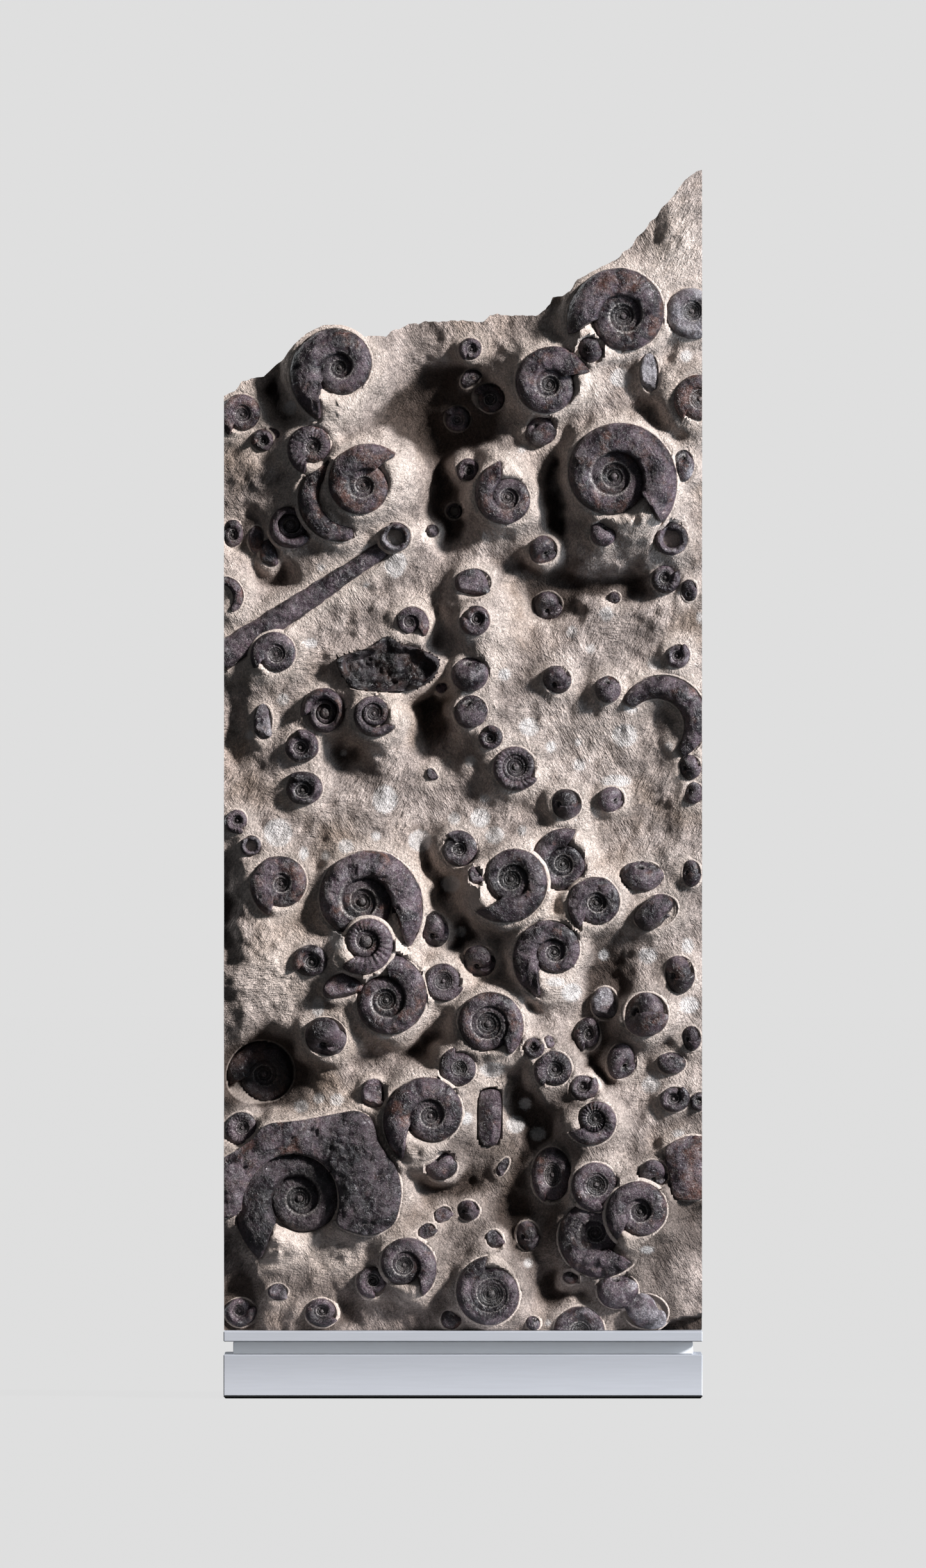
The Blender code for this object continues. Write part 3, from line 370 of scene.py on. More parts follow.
SMALLS = [
    Small(-252, 1117, 14, 14, 0, 12, aperture=200, brown=0.5),
    Small(-237, 1126, 9, 5, -30, 16, Kind.FRAGMENT, brown=0.5),
    Small(-217, 1007, 26, 26, 0, 10, Kind.CUP, 330),
    Small(-257, 990, 12, 20, 10, 10, Kind.FRAGMENT, brown=0.8, pale=0.6),
    Small(-243, 975, 12, 18, 0, 8, Kind.FRAGMENT),
    Small(-288, 1000, 12, 17, 0, 8, aperture=120),
    Small(-85, 995, 20, 19, 0, 16, Kind.RING, pale=0.4),
    Small(-38, 1003, 8, 8, 0, 8, Kind.ROUND, pale=0.3),
    Small(-7, 1144, 16, 16, 0, 6, aperture=150, brown=0.2),
    Small(9, 1231, 14, 14, 0, 12, aperture=240),
    Small(10, 1195, 15, 10, 45, 8, Kind.FRAGMENT, brown=0.1),
    Small(-11, 1028, 10, 10, 0, 12, Kind.RING),
    Small(6, 1080, 14, 14, 0, 19, aperture=230),
    Small(101, 979, 18, 18, 0, 14, Kind.ROUND, 300, brown=0.5),
    Small(98, 1128, 20, 19, 0, 14, Kind.ROUND, 140, brown=0.4, pale=0.3),
    Small(160, 1230, 16, 16, 0, 34, Kind.ROUND, 200, brown=0.1),
    Small(234, 1201, 12, 25, 0, 18, Kind.FRAGMENT, pale=0.9),
    Small(277, 1085, 13, 20, 0, 25, Kind.ROUND, 80, pale=0.6),
    Small(176, 999, 16, 16, 0, 19, Kind.ROUND, 60, brown=0.2),
    Small(262, 993, 21, 21, 0, 10, Kind.RING, brown=0.1, pale=0.3),
    Small(255, 942, 18, 18, 0, 14, Kind.RIBBED, 30, brown=0.1),
    Small(284, 928, 10, 14, 0, 8, Kind.ROUND, 250, brown=0.1),
    Small(107, 909, 18, 18, 0, 3, Kind.ROUND, 270, brown=0.1),
    Small(190, 919, 8, 8, 0, 6, Kind.ROUND, 270, brown=0.1),
    Small(13, 938, 23, 18, 0, 10, Kind.FRAGMENT, brown=0.3),
    Small(15, 890, 19, 19, 0, 14, aperture=350, hand=-1, brown=0.5),
    Small(10, 776, 21, 21, 0, 12, Kind.ROUND, 110),
    Small(-27, 806, 7, 7, 0, 34, Kind.ROUND, 110, brown=0.1),
    Small(35, 744, 15, 15, 0, 12, Kind.RIBBED, 100),
    Small(186, 666, 17, 16, 0, 16, Kind.ROUND, 330, brown=0.0, pale=0.2),
    Small(118, 816, 18, 18, 0, 16, Kind.ROUND, 250, brown=0.2),
    Small(182, 804, 16, 17, 0, 14, Kind.ROUND, 90, brown=0.2),
    Small(270, 846, 15, 15, 0, 16, aperture=60, pale=0.3),
    Small(285, 706, 14, 16, 0, 12, Kind.ROUND, 200),
    Small(290, 674, 12, 14, 0, 12, Kind.ROUND, 160, brown=0.6),
    Small(-176, 778, 28, 28, 0, 12, Kind.CUP, 190, brown=0.3),
    Small(-251, 763, 12, 23, 0, 12, Kind.FRAGMENT, brown=0.4, pale=0.6),
    Small(-202, 733, 21, 21, 0, 14, aperture=100, brown=0.4),
    Small(-199, 680, 23, 21, 0, 16, aperture=130, brown=0.4),
    Small(-39, 697, 6, 9, 30, 5, Kind.FRAGMENT, brown=0.2),
    Small(-285, 638, 14, 15, 0, 12, Kind.RIBBED, 300),
    Small(-266, 608, 13, 13, 0, 12, Kind.RING, pale=0.5),
    Small(-35, 502, 17, 22, 0, 22, Kind.ROUND, 250, brown=0.1),
    Small(-192, 464, 22, 20, 0, 16, aperture=210, pale=0.4),
    Small(-151, 432, 26, 16, 20, 31, Kind.FRAGMENT, brown=0.6),
    Small(16, 570, 8, 12, 20, 42, Kind.FRAGMENT),
    Small(225, 570, 27, 19, 0, 22, Kind.ROUND, 90, brown=0.3, pale=0.2),
    Small(287, 573, 12, 17, 0, 14, Kind.ROUND, 180),
    Small(21, 463, 20, 20, 0, 18, Kind.ROUND, 250, brown=0.2),
    Small(178, 410, 17, 21, 0, 14, Kind.FRAGMENT, pale=0.8),
    Small(156, 371, 16, 21, 0, 14, Kind.RIBBED, 250),
    Small(272, 446, 19, 24, 0, 12, Kind.ROUND, 200, brown=0.5),
    Small(287, 366, 12, 16, 0, 12, Kind.ROUND, 200),
    Small(89, 354, 13, 13, 0, 29, aperture=20),
    Small(108, 362, 8, 8, 0, 23, Kind.ROUND, 20),
    Small(200, 337, 19, 23, 0, 16, Kind.ROUND, 300, brown=0.1),
    Small(262, 335, 18, 14, 0, 12, Kind.ROUND, 90, brown=0.2),
    Small(-112, 297, 16, 19, 0, 19, Kind.FRAGMENT, brown=0.8, pale=0.2),
    Small(-27, 206, 20, 18, 0, 40, Kind.ROUND, 120, brown=0.3),
    Small(-45, 124, 12, 10, 40, 19, Kind.FRAGMENT, pale=0.3),
    Small(-25, 145, 12, 10, 40, 10, Kind.FRAGMENT, pale=0.3),
    Small(7, 150, 14, 13, 0, 8, Kind.ROUND, 200, pale=0.3),
    Small(-115, 60, 19, 20, 0, 14, aperture=280, brown=0.3),
    Small(-232, 48, 13, 11, 0, 8, Kind.FRAGMENT, pale=0.6),
    Small(50, 205, 6, 13, -30, 5, Kind.FRAGMENT, brown=0.1),
    Small(152, 304, 18, 16, 0, 34, aperture=40, brown=0.2),
    Small(239, 196, 19, 18, 0, 27, Kind.ROUND, 280, brown=0.4),
    Small(82, 118, 15, 19, 0, 14, Kind.ROUND, 200, pale=0.3),
    Small(266, 290, 19, 16, 0, 14, aperture=60, brown=0.4, pale=0.3),
    Small(297, 287, 12, 12, 0, 12, aperture=60, pale=0.3),
    Small(40, 114, 10, 13, 30, 20, Kind.FRAGMENT, pale=0.6),
    Small(135, 66, 10, 8, 0, 35, Kind.ROUND, 60),
    Small(88, 9, 9, 9, 0, 15, Kind.ROUND, 60, brown=0.1),
    Small(-15, 13, 13, 12, 0, 19, Kind.ROUND, 60, pale=0.2),
    Small(-279, 22, 20, 18, 0, 10, aperture=20, pale=0.2),
    Small(-178, 22, 20, 18, 0, 14, aperture=330, brown=0.3),
]

# Broad rises of the ground, and hollows where the rise is negative: x, z, half width, half height, rise
SWELLS = [
    (-222, 1165, 26, 40, -36), (-24, 1142, 76, 62, -46), (-22, 1035, 22, 60, -32),
    (120, 1040, 18, 70, -36), (175, 938, 120, 20, -24), (55, 962, 50, 14, -16), (-240, 948, 30, 24, -28),
    (-270, 1000, 30, 32, -24), (-90, 812, 66, 38, -20), (-38, 800, 30, 66, -34), (-45, 895, 26, 26, -20),
    (-142, 722, 24, 30, -22), (-302, 520, 16, 70, -20), (-35, 570, 28, 60, -22), (128, 625, 24, 26, -16),
    (60, 450, 28, 46, -32), (8, 500, 20, 44, -22), (-8, 450, 22, 44, -20), (185, 440, 36, 54, -20),
    (200, 560, 30, 20, -12), (-62, 360, 54, 24, -24), (-250, 322, 56, 56, -42), (165, 335, 36, 46, -26),
    (105, 215, 36, 64, -30), (145, 50, 54, 32, -28), (-282, 30, 28, 40, -24), (-20, 190, 50, 26, -24),
    (60, 130, 28, 44, -20), (107, 909, 30, 30, -24), (75, 300, 28, 44, -20), (-120, 330, 38, 16, -14),
    (245, 350, 42, 34, -14), (235, 1140, 34, 24, -22), (-150, 20, 30, 30, -14), (250, 210, 20, 40, -12),
    (-290, 760, 16, 60, -10), (130, 745, 100, 60, 10), (-170, 625, 90, 40, 10), (-235, 690, 40, 50, 8),
    (-276, 455, 78, 82, 44), (-175, 292, 60, 16, 16), (24, 862, 30, 110, 20), (268, 1350, 40, 80, 18),
    (-85, 1055, 34, 44, 18), (-112, 1180, 26, 50, 16), (-270, 1085, 40, 26, 10), (215, 995, 60, 24, 14),
    (285, 1100, 24, 24, 8), (255, 590, 40, 26, 10), (215, 230, 34, 60, 8), (-150, 85, 70, 28, 10),
    (-200, 30, 20, 30, 8), (265, 80, 40, 40, 10), (160, 1180, 44, 30, 8), (-150, 950, 110, 30, 6),
]

# Broad areas painted pale, partly rock worked down to its pale inside and partly painted light on slopes that
# face the lamp; they also take the painted shade out: x, z, half width, half height, share
PALE_ROCK_AND_PAINTED_LIGHT = [
    (262, 1360, 40, 80, 0.95), (-225, 450, 60, 66, 0.85), (140, 745, 120, 60, 0.35),
    (-150, 640, 60, 30, 0.3), (-108, 1180, 16, 50, 0.5), (45, 865, 20, 70, 0.6), (60, 1000, 30, 24, 0.5),
    (215, 995, 60, 24, 0.5), (-70, 1055, 18, 26, 0.5), (-170, 292, 50, 14, 0.5), (-165, 92, 64, 30, 0.8),
    (255, 590, 30, 20, 0.4),
]

# Round pale spots in the rock: x, z, half width, half height
SPOTS = [
    (-85, 962, 14, 18), (-92, 988, 9, 9), (-178, 957, 5, 5), (-121, 935, 4, 4), (-191, 862, 9, 6),
    (-226, 791, 8, 8), (-193, 795, 6, 6), (-268, 747, 6, 6), (-150, 724, 4, 4), (-98, 666, 16, 18),
    (-109, 620, 6, 6), (-11, 642, 8, 8), (-232, 624, 18, 18), (-200, 598, 6, 9), (-147, 607, 10, 9),
    (-172, 595, 6, 6), (-54, 614, 15, 14), (-15, 560, 12, 11), (-3, 500, 7, 7), (-159, 490, 9, 13),
    (-182, 406, 8, 13), (-99, 368, 9, 4), (73, 1105, 5, 5), (180, 899, 9, 9), (137, 877, 7, 7),
    (297, 894, 4, 8), (83, 757, 13, 12), (203, 746, 16, 15), (160, 855, 6, 6), (211, 781, 9, 8),
    (52, 823, 8, 8), (136, 875, 7, 7), (240, 837, 9, 9), (146, 709, 8, 8), (110, 732, 7, 7),
    (192, 689, 20, 8), (144, 737, 5, 5), (22, 643, 13, 12), (28, 667, 6, 6), (40, 621, 12, 11),
    (74, 627, 6, 6), (10, 714, 7, 7), (258, 732, 6, 6), (177, 471, 7, 7), (232, 470, 12, 11),
    (136, 424, 13, 12), (116, 437, 12, 6), (37, 327, 16, 10), (284, 408, 12, 11), (282, 482, 8, 10),
    (-217, 1157, 9, 9), (198, 1195, 14, 12), (280, 1222, 8, 8), (-203, 281, 9, 8), (-181, 291, 7, 7),
    (-158, 289, 9, 8), (78, 284, 8, 8), (94, 246, 10, 9), (66, 258, 12, 11), (270, 247, 8, 5),
    (236, 308, 12, 11), (4, 266, 8, 8), (231, 101, 9, 5), (82, 84, 6, 6), (107, 9, 4, 4),
]

# The slab's broken top edge, from the left side to the right side
TOP_EDGE = [
    (-300, 1172), (-282, 1181), (-277, 1190), (-249, 1198), (-238, 1208), (-227, 1218), (-221, 1226),
    (-207, 1242), (-195, 1252), (-177, 1260), (-159, 1260), (-158, 1256), (-143, 1252), (-131, 1245),
    (-109, 1247), (-95, 1246), (-89, 1254), (-81, 1254), (-69, 1263), (-41, 1266), (-33, 1264),
    (-25, 1266), (0, 1266), (20, 1264), (25, 1265), (33, 1272), (46, 1275), (57, 1274), (95, 1273),
    (100, 1279), (110, 1288), (112, 1295), (125, 1298), (137, 1307), (142, 1317), (153, 1323),
    (169, 1330), (179, 1336), (187, 1342), (193, 1344), (200, 1352), (213, 1362), (221, 1374),
    (229, 1381), (234, 1390), (242, 1394), (247, 1404), (259, 1418), (266, 1426), (270, 1434),
    (281, 1444), (293, 1454), (300, 1456),
]

CORNER_HOLLOW = ((243, -5), (250, 4), (262, 10), (278, 15), (305, 18), (305, -5))
HOLLOW_HEIGHT = -8.0


def noise(points: np.ndarray, cell: float, seed: int = 0) -> np.ndarray:
    """Smooth random values over space.

    Args:
        points: An array of places, one row each, in any number of dimensions.
        cell: The distance over which the values change.
        seed: Which of the many patterns to take.

    Returns:
        One value between -1 and 1 for each place.
    """
    scaled = np.asarray(points, dtype=float) / cell
    base = np.floor(scaled).astype(np.int64)
    share = scaled - base
    share = share * share * (3.0 - 2.0 * share)
    strides = np.array([73856093, 19349663, 83492791][: scaled.shape[1]])
    total = np.zeros(len(scaled))
    for corner in itertools.product((0, 1), repeat=scaled.shape[1]):
        offset = np.array(corner)
        key = ((base + offset) * strides).sum(axis=1) + seed * 7919
        key = (key ^ (key >> 13)) & 0xFFFFFFFF
        key = (key * 1274126177) & 0xFFFFFFFF
        key = ((key ^ (key >> 16)) * 668265263) & 0xFFFFFFFF
        value = (key ^ (key >> 15)) / 0xFFFFFFFF * 2.0 - 1.0
        total += value * np.prod(np.where(offset == 1, share, 1.0 - share), axis=1)
    return total


def layered(points: np.ndarray, cell: float, octaves: int, seed: int = 0) -> np.ndarray:
    """Noise with finer and weaker noise on top of it."""
    return sum(noise(points, cell / 2.1**step, seed + step) * 0.5**step for step in range(octaves))


def smooth_step(value: np.ndarray, low: float, high: float) -> np.ndarray:
    """0 up to low, 1 from high on, and a soft rise between them."""
    share = np.clip((value - low) / (high - low), 0.0, 1.0)
    return share * share * (3.0 - 2.0 * share)


def turned(x: float, z: float, degrees: float) -> tuple[float, float]:
    """The point x, z turned counter-clockwise in the front view."""
    angle = math.radians(degrees)
    return x * math.cos(angle) - z * math.sin(angle), x * math.sin(angle) + z * math.cos(angle)


def pick(obj: bpy.types.Object) -> None:
    """Makes an object the only selected one, and the active one."""
    bpy.ops.object.select_all(action="DESELECT")
    obj.select_set(True)
    bpy.context.view_layer.objects.active = obj


@contextmanager
def editing(obj: bpy.types.Object) -> Iterator[None]:
    """Edit mode on an object, with all of it selected."""
    pick(obj)
    bpy.ops.object.mode_set(mode="EDIT")
    bpy.ops.mesh.select_all(action="SELECT")
    yield
    bpy.ops.object.mode_set(mode="OBJECT")


def primitive(shape: str, **settings: object) -> bpy.types.Object:
    """A new primitive, with nothing else selected."""
    bpy.ops.object.select_all(action="DESELECT")
    getattr(bpy.ops.mesh, f"primitive_{shape}_add")(**settings)
    return bpy.context.object


def select_open_edges() -> None:
    """Selects the edges that only one face uses, in edit mode."""
    bpy.ops.mesh.select_mode(type="EDGE")
    bpy.ops.mesh.select_all(action="DESELECT")
    bpy.ops.mesh.select_non_manifold(extend=False, use_wire=False, use_multi_face=False, use_verts=False)


def points_of(obj: bpy.types.Object) -> np.ndarray:
    """An object's vertices as an array, in millimetres."""
    points = np.empty(len(obj.data.vertices) * 3, dtype=np.float32)
    obj.data.vertices.foreach_get("co", points)
    return points.reshape(-1, 3).astype(float) / MM


def move_points(obj: bpy.types.Object, points: np.ndarray) -> None:
    """Puts an object's vertices at places given in millimetres."""
    obj.data.vertices.foreach_set("co", (points * MM).astype(np.float32).ravel())
    obj.data.update()


def normals_of(obj: bpy.types.Object) -> np.ndarray:
    """The direction in which each vertex faces."""
    normals = np.empty(len(obj.data.vertices) * 3, dtype=np.float32)
    obj.data.vertex_normals.foreach_get("vector", normals)
    return normals.reshape(-1, 3).astype(float)


def paint(obj: bpy.types.Object, name: str, values: np.ndarray) -> None:
    """Stores a number or a vector for each vertex, for a material to read."""
    kind, key = ("FLOAT", "value") if values.ndim == 1 else ("FLOAT_VECTOR", "vector")
    layer = obj.data.attributes.get(name) or obj.data.attributes.new(name, kind, "POINT")
    layer.data.foreach_set(key, values.astype(np.float32).ravel())


def paint_flat(obj: bpy.types.Object, **values: float) -> None:
    """Stores numbers that are the same all over an object."""
    for name, value in values.items():
        paint(obj, name, np.full(len(obj.data.vertices), value))


def flow_along(angle: np.ndarray) -> np.ndarray:
    """Directions in the form that the strokes read: the cosine and sine of twice their angle."""
    return np.stack([np.cos(2.0 * angle), np.sin(2.0 * angle), 0.0 * angle], axis=1)


def painted(obj: bpy.types.Object, name: str) -> np.ndarray:
    """The numbers that paint stored."""
    values = np.empty(len(obj.data.vertices), dtype=np.float32)
    obj.data.attributes[name].data.foreach_get("value", values)
    return values.astype(float)


def push_out(obj: bpy.types.Object, lift: Callable[[np.ndarray], np.ndarray]) -> None:
    """Moves an object's vertices along their normals, each as far as lift says for its place."""
    points, normals = points_of(obj), normals_of(obj)
    points += normals * lift(points)[:, None]
    move_points(obj, points)


def apply_modifier(obj: bpy.types.Object, kind: str, **settings: object) -> None:
    """Adds a modifier with its settings to an object and applies it."""
    pick(obj)
    modifier = obj.modifiers.new(kind.lower(), kind)
    for key, value in settings.items():
        setattr(modifier, key, value)
    bpy.ops.object.modifier_apply(modifier=modifier.name)


def subdivide(obj: bpy.types.Object, levels: int = 1) -> None:
    """Rounds an object by subdivision."""
    apply_modifier(obj, "SUBSURF", levels=levels, render_levels=levels)


def close_and_orient(obj: bpy.types.Object) -> None:
    """Closes an object's open ends and turns its faces outwards."""
    with editing(obj):
        bpy.ops.mesh.fill_holes(sides=0)
        bpy.ops.mesh.select_all(action="SELECT")
        bpy.ops.mesh.normals_make_consistent(inside=False)


def saw_off(obj: bpy.types.Object, place: Sequence[float], normal: Sequence[float]) -> None:
    """Cuts away what lies past a plane, given in millimetres, and closes the cut."""
    centre = [value * MM for value in place]
    with editing(obj):
        bpy.ops.mesh.bisect(plane_co=centre, plane_no=normal, use_fill=True, clear_outer=True, threshold=1e-6)


def joined(name: str, objects: Sequence[bpy.types.Object]) -> bpy.types.Object:
    """Joins objects into the first of them and names it."""
    pick(objects[0])
    for obj in objects[1:]:
        obj.select_set(True)
    if len(objects) > 1:
        bpy.ops.object.join()
    objects[0].name = objects[0].data.name = name
    return objects[0]


def copied(obj: bpy.types.Object, name: str) -> bpy.types.Object:
    """A copy of an object with its own mesh."""
    twin = obj.copy()
    twin.data = obj.data.copy()
    twin.name = name
    bpy.context.collection.objects.link(twin)
    return twin


def finish_piece(
    obj: bpy.types.Object, material: bpy.types.Material, nodes: Iterable[str] = ()
) -> None:
    """Gives a piece its material, its body and the solids that it stands for, and reports it."""
    obj.data.materials.clear()
    obj.data.materials.append(material)
    pick(obj)
    bpy.ops.object.shade_smooth_by_angle(angle=math.radians(50))
    nodes = list(nodes)
    if nodes:
        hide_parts(*nodes)
    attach(obj, BODY)
    LOG.info("%s: %d faces", obj.name, len(obj.data.polygons))


def outline_distance(
    x: np.ndarray, z: np.ndarray, outline: np.ndarray
) -> tuple[np.ndarray, np.ndarray, np.ndarray]:
    """How far places are from a closed outline.

    Args:
        x: The places' x.
        z: The places' z.
        outline: The outline's points, one row each.

    Returns:
        The distance, negative inside, and the nearest point's x and z.
    """
    following = np.roll(outline, -1, axis=0)
    best = np.full(x.shape, 1e18)
    near_x, near_z = np.zeros(x.shape), np.zeros(x.shape)
    inside = np.zeros(x.shape, dtype=bool)
    for (ax, az), (bx, bz) in zip(outline, following):
        ex, ez = bx - ax, bz - az
        share = np.clip(((x - ax) * ex + (z - az) * ez) / (ex * ex + ez * ez + 1e-12), 0.0, 1.0)
        px, pz = ax + share * ex, az + share * ez
        gap = (x - px) ** 2 + (z - pz) ** 2
        closer = gap < best
        best = np.where(closer, gap, best)
        near_x, near_z = np.where(closer, px, near_x), np.where(closer, pz, near_z)
        crosses = (az > z) != (bz > z)
        inside ^= crosses & (x < ax + (z - az) * ex / (ez if ez else 1e-9))
    return np.where(inside, -1.0, 1.0) * np.sqrt(best), near_x, near_z


def rounded(points: Sequence[tuple[float, float]], rounds: int = 2) -> np.ndarray:
    """An outline whose corners are cut off a few times, which leaves soft bends."""
    ring = np.array(points, dtype=float)
    for _ in range(rounds):
        after = np.roll(ring, -1, axis=0)
        ring = np.stack([0.8 * ring + 0.2 * after, 0.2 * ring + 0.8 * after], axis=1).reshape(-1, 2)
    return ring


@dataclass
class Bed:
    """A shell's footprint in the rock: its outline, the height that it sits at, and how the rock meets it."""

    outline: np.ndarray
    seat: float
    spread: float
    lip: float = 2.0
    cream: float = 1.0
    coil: Coil | None = None
    mound: np.ndarray | None = None
    sink: float = 0.0


def ground(x: np.ndarray, z: np.ndarray, hollows: bool = True) -> np.ndarray:
    """The height of the bare ground between the shells, with or without the hollows."""
    plan = np.stack([x, z], axis=-1).reshape(-1, 2)
    warp = WARP * np.stack([layered(plan, 48.0, 2, 81), layered(plan, 48.0, 2, 82)], axis=1)
    x, z = x + warp[:, 0].reshape(x.shape), z + warp[:, 1].reshape(z.shape)
    height = np.full(x.shape, GROUND_HEIGHT)
    height += 3.0 * np.sin(x / 31.0 + 1.3 * np.sin(z / 57.0))
    height += 3.0 * np.sin(z / 43.0 + 1.1 * np.sin(x / 49.0))
    for sx, sz, width, tall, rise in SWELLS:
        if rise > 0.0 or hollows:
            height += rise * np.exp(-((((x - sx) / width) ** 2 + ((z - sz) / tall) ** 2) ** SWELL_POWER))
    return np.maximum(height, LOWEST_HEIGHT)


def merged(first: np.ndarray, second: np.ndarray) -> np.ndarray:
    """The greater of two rises, with a soft fillet where they are alike."""
    return (first**MERGE_POWER + second**MERGE_POWER) ** (1.0 / MERGE_POWER)


def seat_of(node: str) -> float:
    """The height at which a solid's flat back lies on the rock."""
    return -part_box(node)[1].y / MM - SEAT_GAP


class Shader:
    """Adds nodes to a tree and links them."""

    def __init__(self, tree: bpy.types.NodeTree) -> None:
        """Keeps the tree that the nodes go into."""
        self.tree = tree

    def add(self, kind: str, values: dict | None = None, **settings: object) -> bpy.types.Node:
        """Adds a node.

        Args:
            kind: The node's type name, without the word ShaderNode.
            values: What its inputs get, by name or number: a value or another node's output.
            settings: Its other properties.

        Returns:
            The node.
        """
        node = self.tree.nodes.new("ShaderNode" + kind)
        for key, value in settings.items():
            setattr(node, key, value)
        self.feed(node, values or {})
        return node

    def feed(self, node: bpy.types.Node, values: dict) -> None:
        """Gives a node's inputs their values, and links to them what is another node's output."""
        for key, value in values.items():
            if isinstance(value, bpy.types.NodeSocket):
                self.tree.links.new(value, node.inputs[key])
            else:
                node.inputs[key].default_value = value

    def calc(
        self, operation: str, first: object, second: object = 0.0, third: object = 0.0, clamp: bool = False
    ) -> bpy.types.NodeSocket:
        """The result of a sum on two or three values."""
        values = {0: first, 1: second, 2: third}
        return self.add("Math", values, operation=operation, use_clamp=clamp).outputs[0]

    def blend(self, share: object, first: object, second: object, mode: str = "MIX") -> bpy.types.NodeSocket:
        """A mixture of two colours."""
        node = self.add("Mix", {0: share, 6: first, 7: second}, data_type="RGBA", blend_type=mode)
        return node.outputs[2]

    def toned(self, share: float, colour: object, tone: object) -> bpy.types.NodeSocket:
        """A colour made darker or lighter by a factor."""
        grey = self.add("CombineXYZ", {0: tone, 1: tone, 2: tone}).outputs[0]
        return self.blend(share, colour, grey, "MULTIPLY")

    def piled(self, height: object, *parts: tuple[object, float]) -> bpy.types.NodeSocket:
        """A height with others on top of it, each with its weight."""
        for value, weight in parts:
            height = self.calc("MULTIPLY_ADD", value, weight, height)
        return height

    def ramp(
        self, value: object, low: float, high: float, first: float = 0.0, last: float = 1.0
    ) -> bpy.types.NodeSocket:
        """A value taken smoothly from one range to another."""
        inputs = {"Value": value, "From Min": low, "From Max": high, "To Min": first, "To Max": last}
        return self.add("MapRange", inputs, interpolation_type="SMOOTHSTEP").outputs[0]

    def noise(
        self, vector: object, scale: object, detail: float = 2.0, roughness: float = 0.5, twist: float = 0.0
    ) -> bpy.types.NodeSocket:
        """A noise value around 0.5."""
        values = {
            "Vector": vector, "Scale": scale, "Detail": detail, "Roughness": roughness, "Distortion": twist,
        }
        return self.add("TexNoise", values).outputs["Fac"]

    def attribute(self, name: str, output: str = "Fac") -> bpy.types.NodeSocket:
        """A value that was painted on the vertices."""
        return self.add("Attribute", attribute_name=name).outputs[output]

    def place(self) -> bpy.types.NodeSocket:
        """The place on the object."""
        return self.add("TexCoord").outputs["Object"]

    def strokes(self, effects: "Effects", place: bpy.types.NodeSocket, size: float) -> bpy.types.NodeSocket:
        """The height of strokes that follow the direction painted on the piece."""
        values = {"Vector": place, "Flow": self.attribute("flow", "Vector"), "Size": size}
        return self.add("Group", values, node_tree=effects.strokes).outputs[0]


def rgb(red: float, green: float, blue: float) -> tuple[float, float, float, float]:
    """A linear colour from the numbers of a picture, from 0 to 255."""
    parts = [value / 255.0 for value in (red, green, blue)]
    return (*[p / 12.92 if p < 0.04045 else ((p + 0.055) / 1.055) ** 2.4 for p in parts], 1.0)


class Effects:
    """The shader groups that several materials use."""

    def __init__(self) -> None:
        """Builds each group once."""
        self.strokes = self._strokes()
        self.grain = self._grain()

    @staticmethod
    def _group(
        name: str, inputs: dict[str, str], outputs: dict[str, str]
    ) -> tuple[bpy.types.NodeTree, Shader]:
        """A new group with its sockets."""
        tree = bpy.data.node_groups.new(name, "ShaderNodeTree")
        for label, kind in inputs.items():
            tree.interface.new_socket(name=label, in_out="INPUT", socket_type="NodeSocket" + kind)
        for label, kind in outputs.items():
            tree.interface.new_socket(name=label, in_out="OUTPUT", socket_type="NodeSocket" + kind)
        return tree, Shader(tree)

    def _strokes(self) -> bpy.types.NodeTree:
        """Fine strokes along a painted direction, stored as the cosine and sine of twice its angle."""
        inputs = {"Vector": "Vector", "Flow": "Vector", "Size": "Float"}
        tree, shader = self._group("strokes", inputs, {"Height": "Float"})
        source = tree.nodes.new("NodeGroupInput")
        total: object = 0.0
        for step in range(3):
            angle = math.radians(60.0 * step)
            place = {
                "Vector": source.outputs["Vector"], "Rotation": (0.0, -angle, 0.0), "Scale": (4.5, 1.6, 1.0),
            }
            turned_place = shader.add("Mapping", place, vector_type="TEXTURE").outputs[0]
            lines = shader.noise(turned_place, source.outputs["Size"], 2.0, 0.55)
            axis = (math.cos(2.0 * angle), math.sin(2.0 * angle), 0.0)
            along = shader.add("VectorMath", {0: source.outputs["Flow"], 1: axis}, operation="DOT_PRODUCT")
            weight = shader.calc("MAXIMUM", along.outputs["Value"], 0.0)
            part = shader.calc("MULTIPLY", weight, shader.calc("SUBTRACT", lines, 0.5))
            total = part if step == 0 else shader.calc("ADD", total, part)
        target = tree.nodes.new("NodeGroupOutput")
        tree.links.new(total, target.inputs["Height"])
        return tree

    def _grain(self) -> bpy.types.NodeTree:
        """The grain of stone: broad patches, fine speckle and the height of its pits."""
        outputs = {"Patches": "Float", "Speckle": "Float", "Height": "Float"}
        tree, shader = self._group("grain", {"Vector": "Vector", "Size": "Float"}, outputs)
        source = tree.nodes.new("NodeGroupInput")
        place, size = source.outputs["Vector"], source.outputs["Size"]
        patches = shader.noise(place, shader.calc("MULTIPLY", size, 0.07), 3.0)
        speckle = shader.noise(place, size, 3.0, 0.7)
        pits = shader.noise(place, shader.calc("MULTIPLY", size, 0.35), 4.0)
        height = shader.calc("ADD", shader.calc("MULTIPLY", speckle, 0.35), pits)
        target = tree.nodes.new("NodeGroupOutput")
        shader.feed(target, {"Patches": patches, "Speckle": speckle, "Height": height})
        return tree


def new_material(name: str) -> tuple[bpy.types.Material, Shader, bpy.types.Node]:
    """A material with its tree and its principled shader."""
    material = bpy.data.materials.new(name)
    material.use_nodes = True
    return material, Shader(material.node_tree), material.node_tree.nodes["Principled BSDF"]


